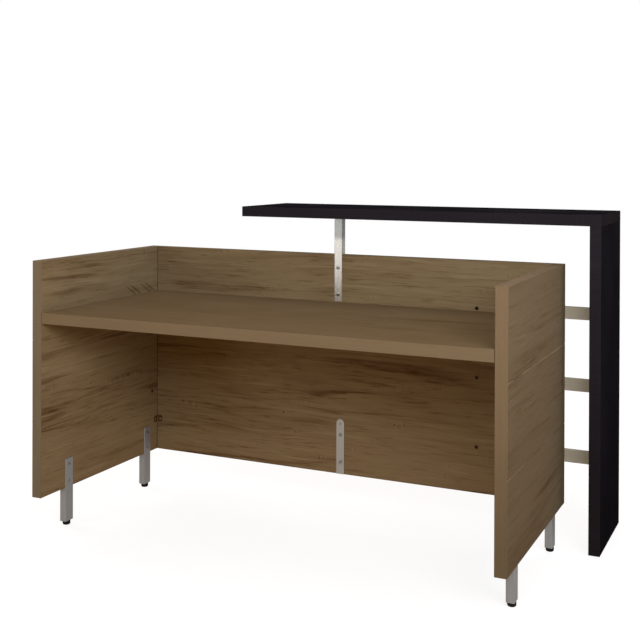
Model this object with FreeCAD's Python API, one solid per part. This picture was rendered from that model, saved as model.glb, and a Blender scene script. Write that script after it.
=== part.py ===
import FreeCAD, Part
import math
import os

# Reception desk: a U of boards on four levelling legs, with an L-shaped counter over its front.
# Millimetres, +Z up. Seen by the person who sits at it, +X is to the right and +Y is away.
# Every place below is measured from the left panel's outer face, the staff edge and the floor.
# The saved solids are moved so that the origin is the middle of the footprint, on the floor.

# Desk boards
desk_width = 1600.0
desk_depth = 700.0
panel_clearance = 130.0
panel_height = 780.0
side_thickness = 36.0
front_thickness = 25.0
worktop_height = 740.0
worktop_thickness = 36.0
band_thickness = 2.0
band_round = 1.0
plank_count = 3
groove_width = 3.0
groove_depth = 1.5

# Counter
handover_gap = 129.0
counter_thickness = 36.0
counter_length = 1286.0
counter_depth = 350.0
counter_overlap = 90.0
counter_gap = 95.0
glide_height = 4.0
glide_radius = 12.0
glide_inset = 60.0
glide_pin_radius = 2.0
glide_pin_length = 14.0

# Legs and levelling feet
leg_width = 40.0
leg_depth = 25.0
leg_wall = 2.0
leg_corner = 2.5
leg_plate_height = 98.0
near_leg_inset = 145.0
far_leg_inset = 93.0
leg_screw_heights = (18.0, 76.0)
foot_height = 15.0
foot_radius = 13.0
foot_round = 5.0
foot_rim = 1.0
foot_sole = 4.0
leg_plug_height = 20.0
stud_radius = 4.0
stud_length = 46.0

# Counter post in the middle, and the strip below it, a little to its right
post_width = 30.0
post_wall = 2.0
post_corner = 2.5
post_plate_gap = 2.5
post_lower_screw_rise = 28.0
post_upper_screw_drop = 47.0
post_plug_height = 20.0
post_stud_reach = 20.0
strip_offset = 11.0
strip_width = 30.0
strip_thickness = 2.0
strip_height = 195.0
strip_screw_heights = (41.0, 138.0)
strip_spare_height = 178.0
strip_spare_radius = 2.75

# Connector bars between the front panel and the counter upright
bar_height = 40.0
bar_depth = 20.0
bar_wall = 2.0
bar_corner = 2.0
bar_overlap = 310.0
bar_pitch = 233.0
upper_bar_rise = 10.0
bar_bolt_inset = 20.0
bar_bolt_spacing = 200.0
bolt_radius = 3.0
bolt_head_radius = 6.0
bolt_head_height = 3.0
bolt_head_round = 1.2
bolt_socket_radius = 2.3
bolt_socket_depth = 1.8
bolt_reach = 10.0
insert_radius = 5.0
insert_length = 12.0
cap_thickness = 2.0
cap_length = 12.0
bar_plug_length = 20.0
bar_stud_reach = 22.0

# Wood screws
screw_radius = 2.5
screw_length = 26.0
short_screw_length = 20.0
head_radius = 5.0
wide_head_radius = 7.0
head_height = 2.6
head_round = 1.6
cross_width = 1.0
cross_length = 5.0
cross_depth = 1.4

# Corner brackets
bracket_leg = 22.0
bracket_height = 24.0
bracket_thickness = 2.0
bracket_rise = 117.0
bracket_screw_inset = 14.0
bracket_screw_radius = 2.0
bracket_screw_length = 14.0
bracket_head_radius = 3.8

# Cam locks and dowels
cam_radius = 7.5
cam_height = 13.0
cam_recess = 0.6
cam_edge_distance = 34.0
cam_axis_depth = 8.0
cam_bolt_radius = 3.5
cam_bolt_neck = 2.0
cam_bolt_reach = 11.0
cam_cross_width = 2.0
cam_cross_length = 8.0
cam_cross_depth = 2.5
side_cam_rise = 227.0
worktop_cam_inset = 100.0
worktop_front_cam_offset = 400.0
counter_cam_inset = 90.0
dowel_radius = 4.0
dowel_reach = 12.0
dowel_root = 18.0
side_dowel_inset = 60.0
worktop_dowel_inset = 160.0
worktop_dowel_offset = 250.0
counter_dowel_inset = 40.0

# Predrilled accessory holes in the front panel
accessory_rise = 196.0
accessory_pitch = 432.0
accessory_count = 4
accessory_radius = 2.5
accessory_depth = 12.0

# Clearances: around a fixed fastener, around a stud that turns, and above a foot that is screwed home
fit_gap = 0.1
running_gap = 0.05
foot_gap = 0.3

# Places closer together than this count as the same
same_place = 1e-6

X_AXIS = FreeCAD.Vector(1, 0, 0)
Y_AXIS = FreeCAD.Vector(0, 1, 0)
Z_AXIS = FreeCAD.Vector(0, 0, 1)

# Places that follow from the sizes
inner_left = side_thickness
inner_right = desk_width - side_thickness
front_inner = desk_depth - front_thickness
panel_top = panel_clearance + panel_height
desk_middle = desk_width / 2
strip_middle = desk_middle + strip_offset
worktop_bottom = worktop_height - worktop_thickness
upright_inner = desk_width + counter_gap
upright_outer = upright_inner + counter_thickness
counter_left = upright_outer - counter_length
counter_near = desk_depth - counter_overlap
counter_far = counter_near + counter_depth
counter_bottom = panel_top + handover_gap
counter_height = counter_bottom + counter_thickness
bracket_level = panel_clearance + bracket_rise
bolt_length = front_thickness + bar_wall + bolt_reach
leg_setbacks = {"near": near_leg_inset, "far": desk_depth - far_leg_inset}
origin = FreeCAD.Vector(upright_outer / 2, counter_far / 2, 0)


def point(x, y, z):
    """A point, measured from the left panel's outer face, the staff edge and the floor."""
    return FreeCAD.Vector(x, y, z)


def block(x_span, y_span, z_span):
    """A box between the two ends of each span."""
    corner = point(x_span[0], y_span[0], z_span[0])
    size = [span[1] - span[0] for span in (x_span, y_span, z_span)]
    return Part.makeBox(size[0], size[1], size[2], corner)


def rod(start, direction, radius, length):
    """A round rod, or the hole for one."""
    return Part.makeCylinder(radius, length, start, direction)


def rounded(shape, radius, chosen):
    """The shape with those of its edges filleted whose middle passes the test."""
    edges = [edge for edge in shape.Edges if chosen(edge)]
    return shape.makeFillet(radius, edges)


def along(edge, axis):
    """True for a straight edge that runs along the axis."""
    ends = [vertex.Point for vertex in edge.Vertexes]
    if len(ends) != 2:
        return False
    run = ends[1] - ends[0]
    return run.cross(axis).Length < same_place < run.Length


def stand(shape, position, direction):
    """A shape modelled on +Z, turned to the direction and moved to its place."""
    placed = shape.copy()
    placed.Placement = FreeCAD.Placement(position, FreeCAD.Rotation(Z_AXIS, direction))
    return placed


def mirrored(shape):
    """The shape on the other side of the desk's middle."""
    return shape.mirror(point(desk_middle, 0, 0), X_AXIS)


def cut_all(shape, tools):
    """The shape with every tool taken out of it."""
    return shape.cut(Part.makeCompound(tools)).removeSplitter()


def cross_recess(top, width, length, depth):
    """The two slots of a cross recess, sunk from a head's top."""
    half = length / 2
    side = width / 2
    span = (top - depth, top + depth)
    return [block((-half, half), (-side, side), span), block((-side, side), (-half, half), span)]


def round_head(radius, height, rounding):
    """A screw's round head on +Z, with its upper edge rounded."""
    crown = Part.makeCylinder(radius, height)
    return rounded(crown, rounding, lambda edge: edge.Closed and edge.CenterOfMass.z > height / 2)


def pan_screw(radius, length, head):
    """A cross-head screw on +Z: its head stands above the origin and its shank goes below."""
    crown = round_head(head, head_height, head_round)
    slot_length = cross_length * head / head_radius
    crown = cut_all(crown, cross_recess(head_height, cross_width, slot_length, cross_depth))
    return crown.fuse(rod(point(0, 0, -length), Z_AXIS, radius, length)).removeSplitter()


def screw_hole(position, direction, radius, length):
    """The hole that a screw of that radius and length sits in, from under its head."""
    return rod(position, -direction, radius + fit_gap, length + fit_gap)


def hexagon_prism(radius, start_z, length):
    """A hexagonal prism on +Z, with the radius out to its corners."""
    corners = [
        point(radius * math.cos(math.radians(60 * step)), radius * math.sin(math.radians(60 * step)), start_z)
        for step in range(7)
    ]
    return Part.Face(Part.makePolygon(corners)).extrude(Z_AXIS * length)


def square_tube(size_x, size_y, length, wall, corner):
    """A rectangular tube on +Z, centred on the origin, with rounded corners."""
    outside = block((-size_x / 2, size_x / 2), (-size_y / 2, size_y / 2), (0, length))
    outside = rounded(outside, corner, lambda edge: along(edge, Z_AXIS))
    inside = tube_filling(size_x, size_y, length, wall, corner, 0)
    return outside.cut(inside)


def tube_filling(size_x, size_y, length, wall, corner, gap):
    """What fills such a tube from end to end, with a gap to its wall."""
    half_x = size_x / 2 - wall - gap
    half_y = size_y / 2 - wall - gap
    filling = block((-half_x, half_x), (-half_y, half_y), (0, length))
    return rounded(filling, max(corner - wall, corner / 4), lambda edge: along(edge, Z_AXIS))


def groove(start, run, inward, across):
    """A V groove's tool: it opens on the face at start and follows the run."""
    bottom = start + inward * groove_depth
    outside = start - inward * groove_depth
    flare = across * groove_width
    return Part.Face(Part.makePolygon([bottom, outside + flare, outside - flare, bottom])).extrude(run)


def groove_heights():
    """Heights of the grooves that divide the panels into equal planks."""
    return [panel_clearance + panel_height * step / plank_count for step in range(1, plank_count)]


def groove_tools():
    """Tools for the grooves round the outside: left panel, visitor side and right panel."""
    tools = []
    for height in groove_heights():
        side_run = Y_AXIS * desk_depth
        tools.append(groove(point(0, 0, height), side_run, X_AXIS, Z_AXIS))
        tools.append(groove(point(desk_width, 0, height), side_run, -X_AXIS, Z_AXIS))
        tools.append(groove(point(0, desk_depth, height), X_AXIS * desk_width, -Y_AXIS, Z_AXIS))
    return tools


def band(x_span, y_span, z_span, outward):
    """An edge band with its long outer edges rounded, facing outwards."""
    strip = block(x_span, y_span, z_span)
    sizes = {"x": x_span[1] - x_span[0], "y": y_span[1] - y_span[0], "z": z_span[1] - z_span[0]}
    run = {"x": X_AXIS, "y": Y_AXIS, "z": Z_AXIS}[max(sizes, key=sizes.get)]
    face_level = max(corner.Point.dot(outward) for corner in strip.Vertexes)

    def on_outer_face(edge):
        return along(edge, run) and abs(edge.CenterOfMass.dot(outward) - face_level) < same_place

    return rounded(strip, band_round, on_outer_face)


# Screws of the metal fittings: the place under each head, and the way the head points
def leg_screw_places():
    """Screws of the left legs; the right legs mirror them."""
    plate_face = inner_left + leg_wall
    return [
        (point(plate_face, setback, panel_clearance + height), X_AXIS)
        for setback in leg_setbacks.values()
        for height in leg_screw_heights
    ]


def post_screw_places():
    """Screws of the counter post's plate."""
    plate_face = front_inner - post_wall
    levels = (worktop_height + post_lower_screw_rise, panel_top - post_upper_screw_drop)
    return [(point(desk_middle, plate_face, level), -Y_AXIS) for level in levels]


def strip_screw_places():
    """Screws of the strip at the bottom of the front panel."""
    plate_face = front_inner - strip_thickness
    levels = [panel_clearance + height for height in strip_screw_heights]
    return [(point(strip_middle, plate_face, level), -Y_AXIS) for level in levels]


def bracket_screw_places():
    """Screws of the left corner bracket, into the side panel and into the front panel."""
    side_place = point(inner_left + bracket_thickness, front_inner - bracket_screw_inset, bracket_level)
    front_place = point(inner_left + bracket_screw_inset, front_inner - bracket_thickness, bracket_level)
    return [(side_place, X_AXIS), (front_place, -Y_AXIS)]


def screws_at(places, screw):
    """A copy of the screw at each place."""
    return [stand(screw, position, direction) for position, direction in places]


def holes_at(places, radius, length):
    """The hole for a screw at each place."""
    return [screw_hole(position, direction, radius, length) for position, direction in places]


# Cam locks: the cam sits in one board's face, and its bolt reaches through that board's edge
def cam_lock(centre, out_of_face, to_edge):
    """The cam, its bolt, and the holes that both need. The centre lies on the drilled face."""
    length = cam_height - cam_recess - fit_gap
    cam = rod(point(0, 0, 0), Z_AXIS, cam_radius - fit_gap, length)
    cam = cut_all(cam, cross_recess(length, cam_cross_width, cam_cross_length, cam_cross_depth))
    floor_place = centre - out_of_face * (cam_height - fit_gap)
    bolt_start = centre - out_of_face * cam_axis_depth
    bolt_length = cam_edge_distance + cam_bolt_reach
    bolt_hole = rod(bolt_start, to_edge, cam_bolt_radius + fit_gap, bolt_length + fit_gap)
    bolt = rod(bolt_start + to_edge * cam_bolt_neck, to_edge, cam_bolt_radius, bolt_length - cam_bolt_neck)
    cam = stand(cam, floor_place, out_of_face).cut(bolt_hole)
    cam_hole = rod(centre, -out_of_face, cam_radius, cam_height)
    return cam, bolt, [cam_hole, bolt_hole]


def dowel(joint_point, into_edge):
    """A dowel across a joint and its hole: it reaches into one board and is rooted in the other's edge."""
    start = joint_point - into_edge * dowel_reach
    length = dowel_reach + dowel_root
    hole_start = start - into_edge * fit_gap
    hole = rod(hole_start, into_edge, dowel_radius + fit_gap, length + 2 * fit_gap)
    return rod(start, into_edge, dowel_radius, length), hole


def side_joint():
    """Cam lock and dowels between the left panel and the front panel."""
    cam_place = point(inner_left, front_inner - cam_edge_distance, panel_clearance + side_cam_rise)
    middle = panel_clearance + panel_height / 2
    levels = (panel_clearance + side_dowel_inset, middle, panel_top - side_dowel_inset)
    dowels = [dowel(point(side_thickness / 2, front_inner, level), -Y_AXIS) for level in levels]
    return cam_lock(cam_place, X_AXIS, Y_AXIS), dowels


def worktop_joints():
    """Cam locks under the worktop and the dowels in its edges, at its left end and at the front panel."""
    down = -Z_AXIS
    left_cams = [
        cam_lock(point(inner_left + cam_edge_distance, setback, worktop_bottom), down, -X_AXIS)
        for setback in (worktop_cam_inset, front_inner - worktop_cam_inset)
    ]
    front_cams = [
        cam_lock(point(desk_middle + offset, front_inner - cam_edge_distance, worktop_bottom), down, Y_AXIS)
        for offset in (-worktop_front_cam_offset, 0, worktop_front_cam_offset)
    ]
    middle = worktop_height - worktop_thickness / 2
    left_dowels = [
        dowel(point(inner_left, setback, middle), X_AXIS)
        for setback in (worktop_dowel_inset, front_inner - worktop_dowel_inset)
    ]
    front_dowels = [
        dowel(point(desk_middle + offset, front_inner, middle), -Y_AXIS)
        for offset in (-worktop_dowel_offset, worktop_dowel_offset)
    ]
    return left_cams, front_cams, left_dowels, front_dowels


def counter_joint():
    """Cam locks in the upright's inner face and dowels in its top edge, under the slab."""
    cam_level = counter_bottom - cam_edge_distance
    cams = [
        cam_lock(point(upright_inner, setback, cam_level), -X_AXIS, Z_AXIS)
        for setback in (counter_near + counter_cam_inset, counter_far - counter_cam_inset)
    ]
    middle = upright_inner + counter_thickness / 2
    dowels = [
        dowel(point(middle, setback, counter_bottom), -Z_AXIS)
        for setback in (counter_near + counter_dowel_inset, counter_far - counter_dowel_inset)
    ]
    return cams, dowels


# Connector bars
def bar_levels():
    """Heights of the three bars' middles, from the lowest up."""
    return [worktop_height + upper_bar_rise - bar_pitch * step for step in (2, 1, 0)]


def bar_bolt_places():
    """The place under each bar bolt's head, on the front panel's staff side."""
    first = desk_width - bar_overlap + bar_bolt_inset
    return [
        (point(first + offset, front_inner, level), -Y_AXIS)
        for level in bar_levels()
        for offset in (0, bar_bolt_spacing)
    ]


def bar_bolt():
    """A low round bolt with a hexagon socket, on +Z with its head above the origin."""
    crown = round_head(bolt_head_radius, bolt_head_height, bolt_head_round)
    socket_floor = bolt_head_height - bolt_socket_depth
    crown = crown.cut(hexagon_prism(bolt_socket_radius, socket_floor, bolt_head_height))
    return crown.fuse(rod(point(0, 0, -bolt_length), Z_AXIS, bolt_radius, bolt_length)).removeSplitter()


def bar_at(level):
    """One bar: a tube from the front panel's visitor side to the upright."""
    length = bar_overlap + counter_gap
    tube = square_tube(bar_height, bar_depth, length, bar_wall, bar_corner)
    start = point(desk_width - bar_overlap, desk_depth + bar_depth / 2, level)
    tube = stand(tube, start, X_AXIS)
    holes = holes_at(bar_bolt_places(), bolt_radius, front_thickness + bar_wall)
    return tube.cut(Part.makeCompound(holes))


def bar_cap_at(level):
    """The cap in a bar's free end: a plate over the end and a plug inside."""
    plug = tube_filling(bar_height, bar_depth, cap_length, bar_wall, bar_corner, fit_gap)
    plate = block((-bar_height / 2, bar_height / 2), (-bar_depth / 2, bar_depth / 2), (-cap_thickness, 0))
    plate = rounded(plate, bar_corner, lambda edge: along(edge, Z_AXIS))
    start = point(desk_width - bar_overlap, desk_depth + bar_depth / 2, level)
    return stand(plate.fuse(plug).removeSplitter(), start, X_AXIS)


def bar_plug_at(level):
    """The threaded plug in a bar's end at the upright."""
    plug = tube_filling(bar_height, bar_depth, bar_plug_length, bar_wall, bar_corner, fit_gap)
    start = point(upright_inner - bar_plug_length, desk_depth + bar_depth / 2, level)
    return stand(plug, start, X_AXIS).cut(bar_stud_at(level, fit_gap))


def bar_stud_at(level, gap):
    """The stud from a bar's plug into the upright, or with a gap the hole for it."""
    start = point(upright_inner - bar_plug_length - gap, desk_depth + bar_depth / 2, level)
    return rod(start, X_AXIS, stud_radius + gap, bar_plug_length + bar_stud_reach + 2 * gap)


def bar_insert_at(place):
    """The threaded insert behind a bar's wall, round its bolt."""
    wall_inside = point(place.x, desk_depth + bar_wall, place.z)
    ring = rod(wall_inside, Y_AXIS, insert_radius, insert_length)
    return ring.cut(rod(wall_inside, Y_AXIS, bolt_radius + fit_gap, insert_length))


# Legs and feet on the left side; the right side mirrors them
def leg_centre(setback):
    """The middle of a left leg's tube, on the floor."""
    return point(inner_left + leg_wall - leg_depth / 2, setback, 0)


def left_leg(setback):
    """A leg: the tube carries the panel's edge, and its inner wall runs on up the panel's face."""
    length = panel_clearance - foot_height + leg_plate_height
    tube = square_tube(leg_depth, leg_width, length, leg_wall, leg_corner)
    tube.translate(leg_centre(setback) + Z_AXIS * foot_height)
    notch_y = (setback - leg_width, setback + leg_width)
    notch = block((inner_left - leg_depth, inner_left), notch_y, (panel_clearance, panel_top))
    return cut_all(tube, [notch] + holes_at(leg_screw_places(), screw_radius, screw_length))


def left_leg_plug(setback):
    """The plug in a leg's lower end, with the thread that the foot's stud turns in."""
    plug = tube_filling(leg_depth, leg_width, leg_plug_height, leg_wall, leg_corner, fit_gap)
    plug.translate(leg_centre(setback) + Z_AXIS * foot_height)
    return plug.cut(rod(leg_centre(setback), Z_AXIS, stud_radius + running_gap, panel_clearance))


def left_foot_stud(setback):
    """A levelling foot's stud, screwed home."""
    return rod(leg_centre(setback) + Z_AXIS * (foot_sole + running_gap), Z_AXIS, stud_radius, stud_length)


def left_foot_base(setback):
    """A levelling foot's base: round, with a soft lower edge and a blind hole for its stud."""
    top = foot_height - foot_gap
    base = rod(leg_centre(setback), Z_AXIS, foot_radius, top)
    base = rounded(base, foot_round, lambda edge: edge.Closed and edge.CenterOfMass.z < top / 2)
    base = rounded(base, foot_rim, lambda edge: edge.Closed and edge.CenterOfMass.z > top - foot_rim)
    return base.cut(rod(leg_centre(setback) + Z_AXIS * foot_sole, Z_AXIS, stud_radius + running_gap, top))


# Post and strip in the middle of the front panel
def post_centre():
    """The middle of the post's tube, on the floor."""
    return point(desk_middle, front_inner - post_wall + post_width / 2, 0)


def counter_post():
    """The post: its tube stands on the front panel, and its staff-side wall runs on down the panel."""
    plate_bottom = worktop_height + post_plate_gap
    tube = square_tube(post_width, post_width, counter_bottom - plate_bottom, post_wall, post_corner)
    tube.translate(post_centre() + Z_AXIS * plate_bottom)
    notch_x = (desk_middle - post_width, desk_middle + post_width)
    notch = block(notch_x, (front_inner, front_inner + 2 * post_width), (0, panel_top))
    return cut_all(tube, [notch] + holes_at(post_screw_places(), screw_radius, short_screw_length))


def post_stud(gap):
    """The stud from the post's plug into the slab, or with a gap the hole for it."""
    start = post_centre() + Z_AXIS * (counter_bottom - post_plug_height - gap)
    return rod(start, Z_AXIS, stud_radius + gap, post_plug_height + post_stud_reach + 2 * gap)


def post_plug():
    """The threaded plug in the post's upper end."""
    plug = tube_filling(post_width, post_width, post_plug_height, post_wall, post_corner, fit_gap)
    plug.translate(post_centre() + Z_AXIS * (counter_bottom - post_plug_height))
    return plug.cut(post_stud(fit_gap))


def front_strip():
    """The strip at the front panel's bottom: a flat with a round top, two screws and a spare hole."""
    half = strip_width / 2
    y_span = (front_inner - strip_thickness, front_inner)
    top_centre = point(strip_middle, y_span[0], panel_clearance + strip_height - half)
    flat = block((strip_middle - half, strip_middle + half), y_span, (panel_clearance, top_centre.z))
    strip = flat.fuse(rod(top_centre, Y_AXIS, half, strip_thickness)).removeSplitter()
    spare_start = point(strip_middle, y_span[0], panel_clearance + strip_spare_height)
    spare = rod(spare_start, Y_AXIS, strip_spare_radius, strip_thickness)
    return cut_all(strip, [spare] + holes_at(strip_screw_places(), screw_radius, short_screw_length))


def corner_bracket():
    """The left corner's angle bracket, with a hole in each leg."""
    level = (bracket_level - bracket_height / 2, bracket_level + bracket_height / 2)
    near = front_inner - bracket_leg
    side_leg = block((inner_left, inner_left + bracket_thickness), (near, front_inner), level)
    front_span = (inner_left, inner_left + bracket_leg)
    front_leg = block(front_span, (front_inner - bracket_thickness, front_inner), level)
    holes = holes_at(bracket_screw_places(), bracket_screw_radius, bracket_screw_length)
    return cut_all(side_leg.fuse(front_leg), holes)


def accessory_holes():
    """The row of predrilled blind holes in the front panel's staff side."""
    first = desk_middle - accessory_pitch * (accessory_count - 1) / 2
    level = panel_clearance + accessory_rise
    places = [point(first + accessory_pitch * step, front_inner, level) for step in range(accessory_count)]
    return [rod(place, Y_AXIS, accessory_radius, accessory_depth) for place in places]


# Glides under the counter upright
def glide_places():
    """The middle of each glide, on the floor."""
    middle = upright_inner + counter_thickness / 2
    return [point(middle, setback, 0) for setback in (counter_near + glide_inset, counter_far - glide_inset)]


def glide(place):
    """A glide: a disc under the upright with a pin up into it."""
    disc = rod(place, Z_AXIS, glide_radius, glide_height)
    pin = rod(place + Z_AXIS * glide_height, Z_AXIS, glide_pin_radius, glide_pin_length)
    return disc.fuse(pin).removeSplitter()


def glide_hole(place):
    """The hole for a glide's pin in the upright's lower edge."""
    length = glide_height + glide_pin_length + fit_gap
    return rod(place, Z_AXIS, glide_pin_radius + fit_gap, length)


# Boards and their edge bands
def side_bands():
    """The left panel's bands: staff edge, top and bottom."""
    wide = (0, side_thickness)
    deep = (band_thickness, front_inner)
    top = (panel_top - band_thickness, panel_top)
    bottom = (panel_clearance, panel_clearance + band_thickness)
    return [
        band(wide, (0, band_thickness), (panel_clearance, panel_top), -Y_AXIS),
        band(wide, deep, top, Z_AXIS),
        band(wide, deep, bottom, -Z_AXIS),
    ]


def front_bands():
    """The front panel's bands: both ends, top and bottom."""
    deep = (front_inner, desk_depth)
    tall = (panel_clearance, panel_top)
    wide = (band_thickness, desk_width - band_thickness)
    return [
        band((0, band_thickness), deep, tall, -X_AXIS),
        band((desk_width - band_thickness, desk_width), deep, tall, X_AXIS),
        band(wide, deep, (panel_top - band_thickness, panel_top), Z_AXIS),
        band(wide, deep, (panel_clearance, panel_clearance + band_thickness), -Z_AXIS),
    ]


def counter_top_bands():
    """The slab's bands: near and far edges over its whole length, then both ends."""
    tall = (counter_bottom, counter_height)
    wide = (counter_left, upright_outer)
    deep = (counter_near + band_thickness, counter_far - band_thickness)
    return [
        band(wide, (counter_near, counter_near + band_thickness), tall, -Y_AXIS),
        band(wide, (counter_far - band_thickness, counter_far), tall, Y_AXIS),
        band((counter_left, counter_left + band_thickness), deep, tall, -X_AXIS),
        band((upright_outer - band_thickness, upright_outer), deep, tall, X_AXIS),
    ]


def upright_bands():
    """The upright's bands: near and far edges, and the bottom that the glides are nailed to."""
    wide = (upright_inner, upright_outer)
    tall = (glide_height, counter_bottom)
    deep = (counter_near + band_thickness, counter_far - band_thickness)
    bottom = band(wide, deep, (glide_height, glide_height + band_thickness), -Z_AXIS)
    return [
        band(wide, (counter_near, counter_near + band_thickness), tall, -Y_AXIS),
        band(wide, (counter_far - band_thickness, counter_far), tall, Y_AXIS),
        cut_all(bottom, [glide_hole(place) for place in glide_places()]),
    ]


def save(node, solids):
    """Move a node's solids to the origin's frame and write them."""
    shape = solids[0] if len(solids) == 1 else Part.makeCompound(solids)
    shape = shape.copy()
    shape.translate(-origin)
    shape.exportStep("parts/" + node + ".step")
    print(node, len(solids), "solid" if len(solids) == 1 else "solids", round(shape.Volume))


def both_sides(shapes):
    """The left side's shapes and their mirror images."""
    return shapes + [mirrored(shape) for shape in shapes]


os.makedirs("parts", exist_ok=True)
grooves = groove_tools()

# Joints and the holes they need
side_cam, side_dowels = side_joint()
left_cams, front_cams, left_dowels, front_dowels = worktop_joints()
counter_cams, counter_dowels = counter_joint()
left_cam_holes = [hole for cam in left_cams for hole in cam[2]]
front_cam_holes = [hole for cam in front_cams for hole in cam[2]]
left_dowel_holes = [hole for piece, hole in left_dowels]
front_dowel_holes = [hole for piece, hole in front_dowels]
side_dowel_holes = [hole for piece, hole in side_dowels]
counter_joint_holes = [hole for cam in counter_cams for hole in cam[2]]
counter_joint_holes += [hole for piece, hole in counter_dowels]
bracket_holes = holes_at(bracket_screw_places(), bracket_screw_radius, bracket_screw_length)
bar_stud_holes = [bar_stud_at(level, fit_gap) for level in bar_levels()]

# Side panels
side_board = block(
    (0, side_thickness),
    (band_thickness, front_inner),
    (panel_clearance + band_thickness, panel_top - band_thickness),
)
side_holes = holes_at(leg_screw_places(), screw_radius, screw_length) + bracket_holes
side_holes += side_cam[2] + side_dowel_holes + left_cam_holes + left_dowel_holes
left_panel = cut_all(side_board, side_holes + grooves)
left_bands = [cut_all(strip, grooves) for strip in side_bands()]
save("left_side_panel", [left_panel])
save("left_side_edge_bands", left_bands)
save("right_side_panel", [mirrored(left_panel)])
save("right_side_edge_bands", [mirrored(strip) for strip in left_bands])

# Front panel
front_board = block(
    (band_thickness, desk_width - band_thickness),
    (front_inner, desk_depth),
    (panel_clearance + band_thickness, panel_top - band_thickness),
)
front_holes = both_sides(side_cam[2] + side_dowel_holes + bracket_holes) + front_cam_holes + front_dowel_holes
front_holes += holes_at(post_screw_places() + strip_screw_places(), screw_radius, short_screw_length)
front_holes += holes_at(bar_bolt_places(), bolt_radius, bolt_length) + accessory_holes()
save("front_panel", [cut_all(front_board, front_holes + grooves)])
save("front_edge_bands", [cut_all(strip, grooves) for strip in front_bands()])

# Worktop
worktop_wide = (inner_left, inner_right)
worktop_tall = (worktop_bottom, worktop_height)
worktop_board = block(worktop_wide, (band_thickness, front_inner), worktop_tall)
worktop_holes = both_sides(left_cam_holes + left_dowel_holes) + front_cam_holes + front_dowel_holes
save("worktop", [cut_all(worktop_board, worktop_holes)])
save("worktop_edge_band", [band(worktop_wide, (0, band_thickness), worktop_tall, -Y_AXIS)])

# Counter
slab_board = block(
    (counter_left + band_thickness, upright_outer - band_thickness),
    (counter_near + band_thickness, counter_far - band_thickness),
    (counter_bottom, counter_height),
)
upright_board = block(
    (upright_inner, upright_outer),
    (counter_near + band_thickness, counter_far - band_thickness),
    (glide_height + band_thickness, counter_bottom),
)
upright_holes = counter_joint_holes + bar_stud_holes + [glide_hole(place) for place in glide_places()]
save("counter_top", [cut_all(slab_board, counter_joint_holes + [post_stud(fit_gap)])])
save("counter_top_edge_bands", counter_top_bands())
save("counter_upright", [cut_all(upright_board, upright_holes)])
save("counter_upright_edge_bands", upright_bands())
save("upright_glides", [glide(place) for place in glide_places()])

# Legs and levelling feet, one node for each leg, stud and base
for row, setback in leg_setbacks.items():
    for side, turn in (("left", lambda shape: shape), ("right", mirrored)):
        save(f"{row}_{side}_leg", [turn(left_leg(setback))])
        save(f"{row}_{side}_foot_stud", [turn(left_foot_stud(setback))])
        save(f"{row}_{side}_foot_base", [turn(left_foot_base(setback))])
save("leg_end_plugs", both_sides([left_leg_plug(setback) for setback in leg_setbacks.values()]))
leg_screw = pan_screw(screw_radius, screw_length, head_radius)
save("leg_screws", both_sides(screws_at(leg_screw_places(), leg_screw)))

# Post and strip
short_screw = pan_screw(screw_radius, short_screw_length, wide_head_radius)
save("counter_post", [counter_post()])
save("post_end_plug", [post_plug()])
save("post_stud", [post_stud(0)])
save("post_screws", screws_at(post_screw_places(), short_screw))
save("front_strip", [front_strip()])
save("strip_screws", screws_at(strip_screw_places(), short_screw))

# Connector bars
for name, level in zip(("lower", "middle", "upper"), bar_levels()):
    save(f"{name}_connector_bar", [bar_at(level)])
save("bar_end_caps", [bar_cap_at(level) for level in bar_levels()])
save("bar_end_plugs", [bar_plug_at(level) for level in bar_levels()])
save("bar_studs", [bar_stud_at(level, 0) for level in bar_levels()])
save("bar_bolts", screws_at(bar_bolt_places(), bar_bolt()))
save("bar_inserts", [bar_insert_at(position) for position, direction in bar_bolt_places()])

# Corner brackets
bracket_screw = pan_screw(bracket_screw_radius, bracket_screw_length, bracket_head_radius)
save("corner_brackets", both_sides([corner_bracket()]))
save("bracket_screws", both_sides(screws_at(bracket_screw_places(), bracket_screw)))

# Cam locks and dowels
save("side_cam_locks", both_sides([side_cam[0]]))
save("side_cam_bolts", both_sides([side_cam[1]]))
save("side_dowels", both_sides([piece for piece, hole in side_dowels]))
end_dowels = both_sides([piece for piece, hole in left_dowels])
save("worktop_cam_locks", both_sides([cam[0] for cam in left_cams]) + [cam[0] for cam in front_cams])
save("worktop_cam_bolts", both_sides([cam[1] for cam in left_cams]) + [cam[1] for cam in front_cams])
save("worktop_dowels", end_dowels + [piece for piece, hole in front_dowels])
save("counter_cam_locks", [cam[0] for cam in counter_cams])
save("counter_cam_bolts", [cam[1] for cam in counter_cams])
save("counter_dowels", [piece for piece, hole in counter_dowels])
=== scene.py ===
"""Looks of the reception desk: its finishes, fine fittings and studio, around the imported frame.

Staff sit on the -Y side, visitors stand on the +Y side, and the floor is at z = 0.
Lengths are in metres, as in the frame.
"""

import logging
import math
from dataclasses import dataclass
from enum import Enum
from typing import Callable, Iterable, Mapping, Sequence, Union

import bmesh
import bpy
from mathutils import Matrix, Vector


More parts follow.
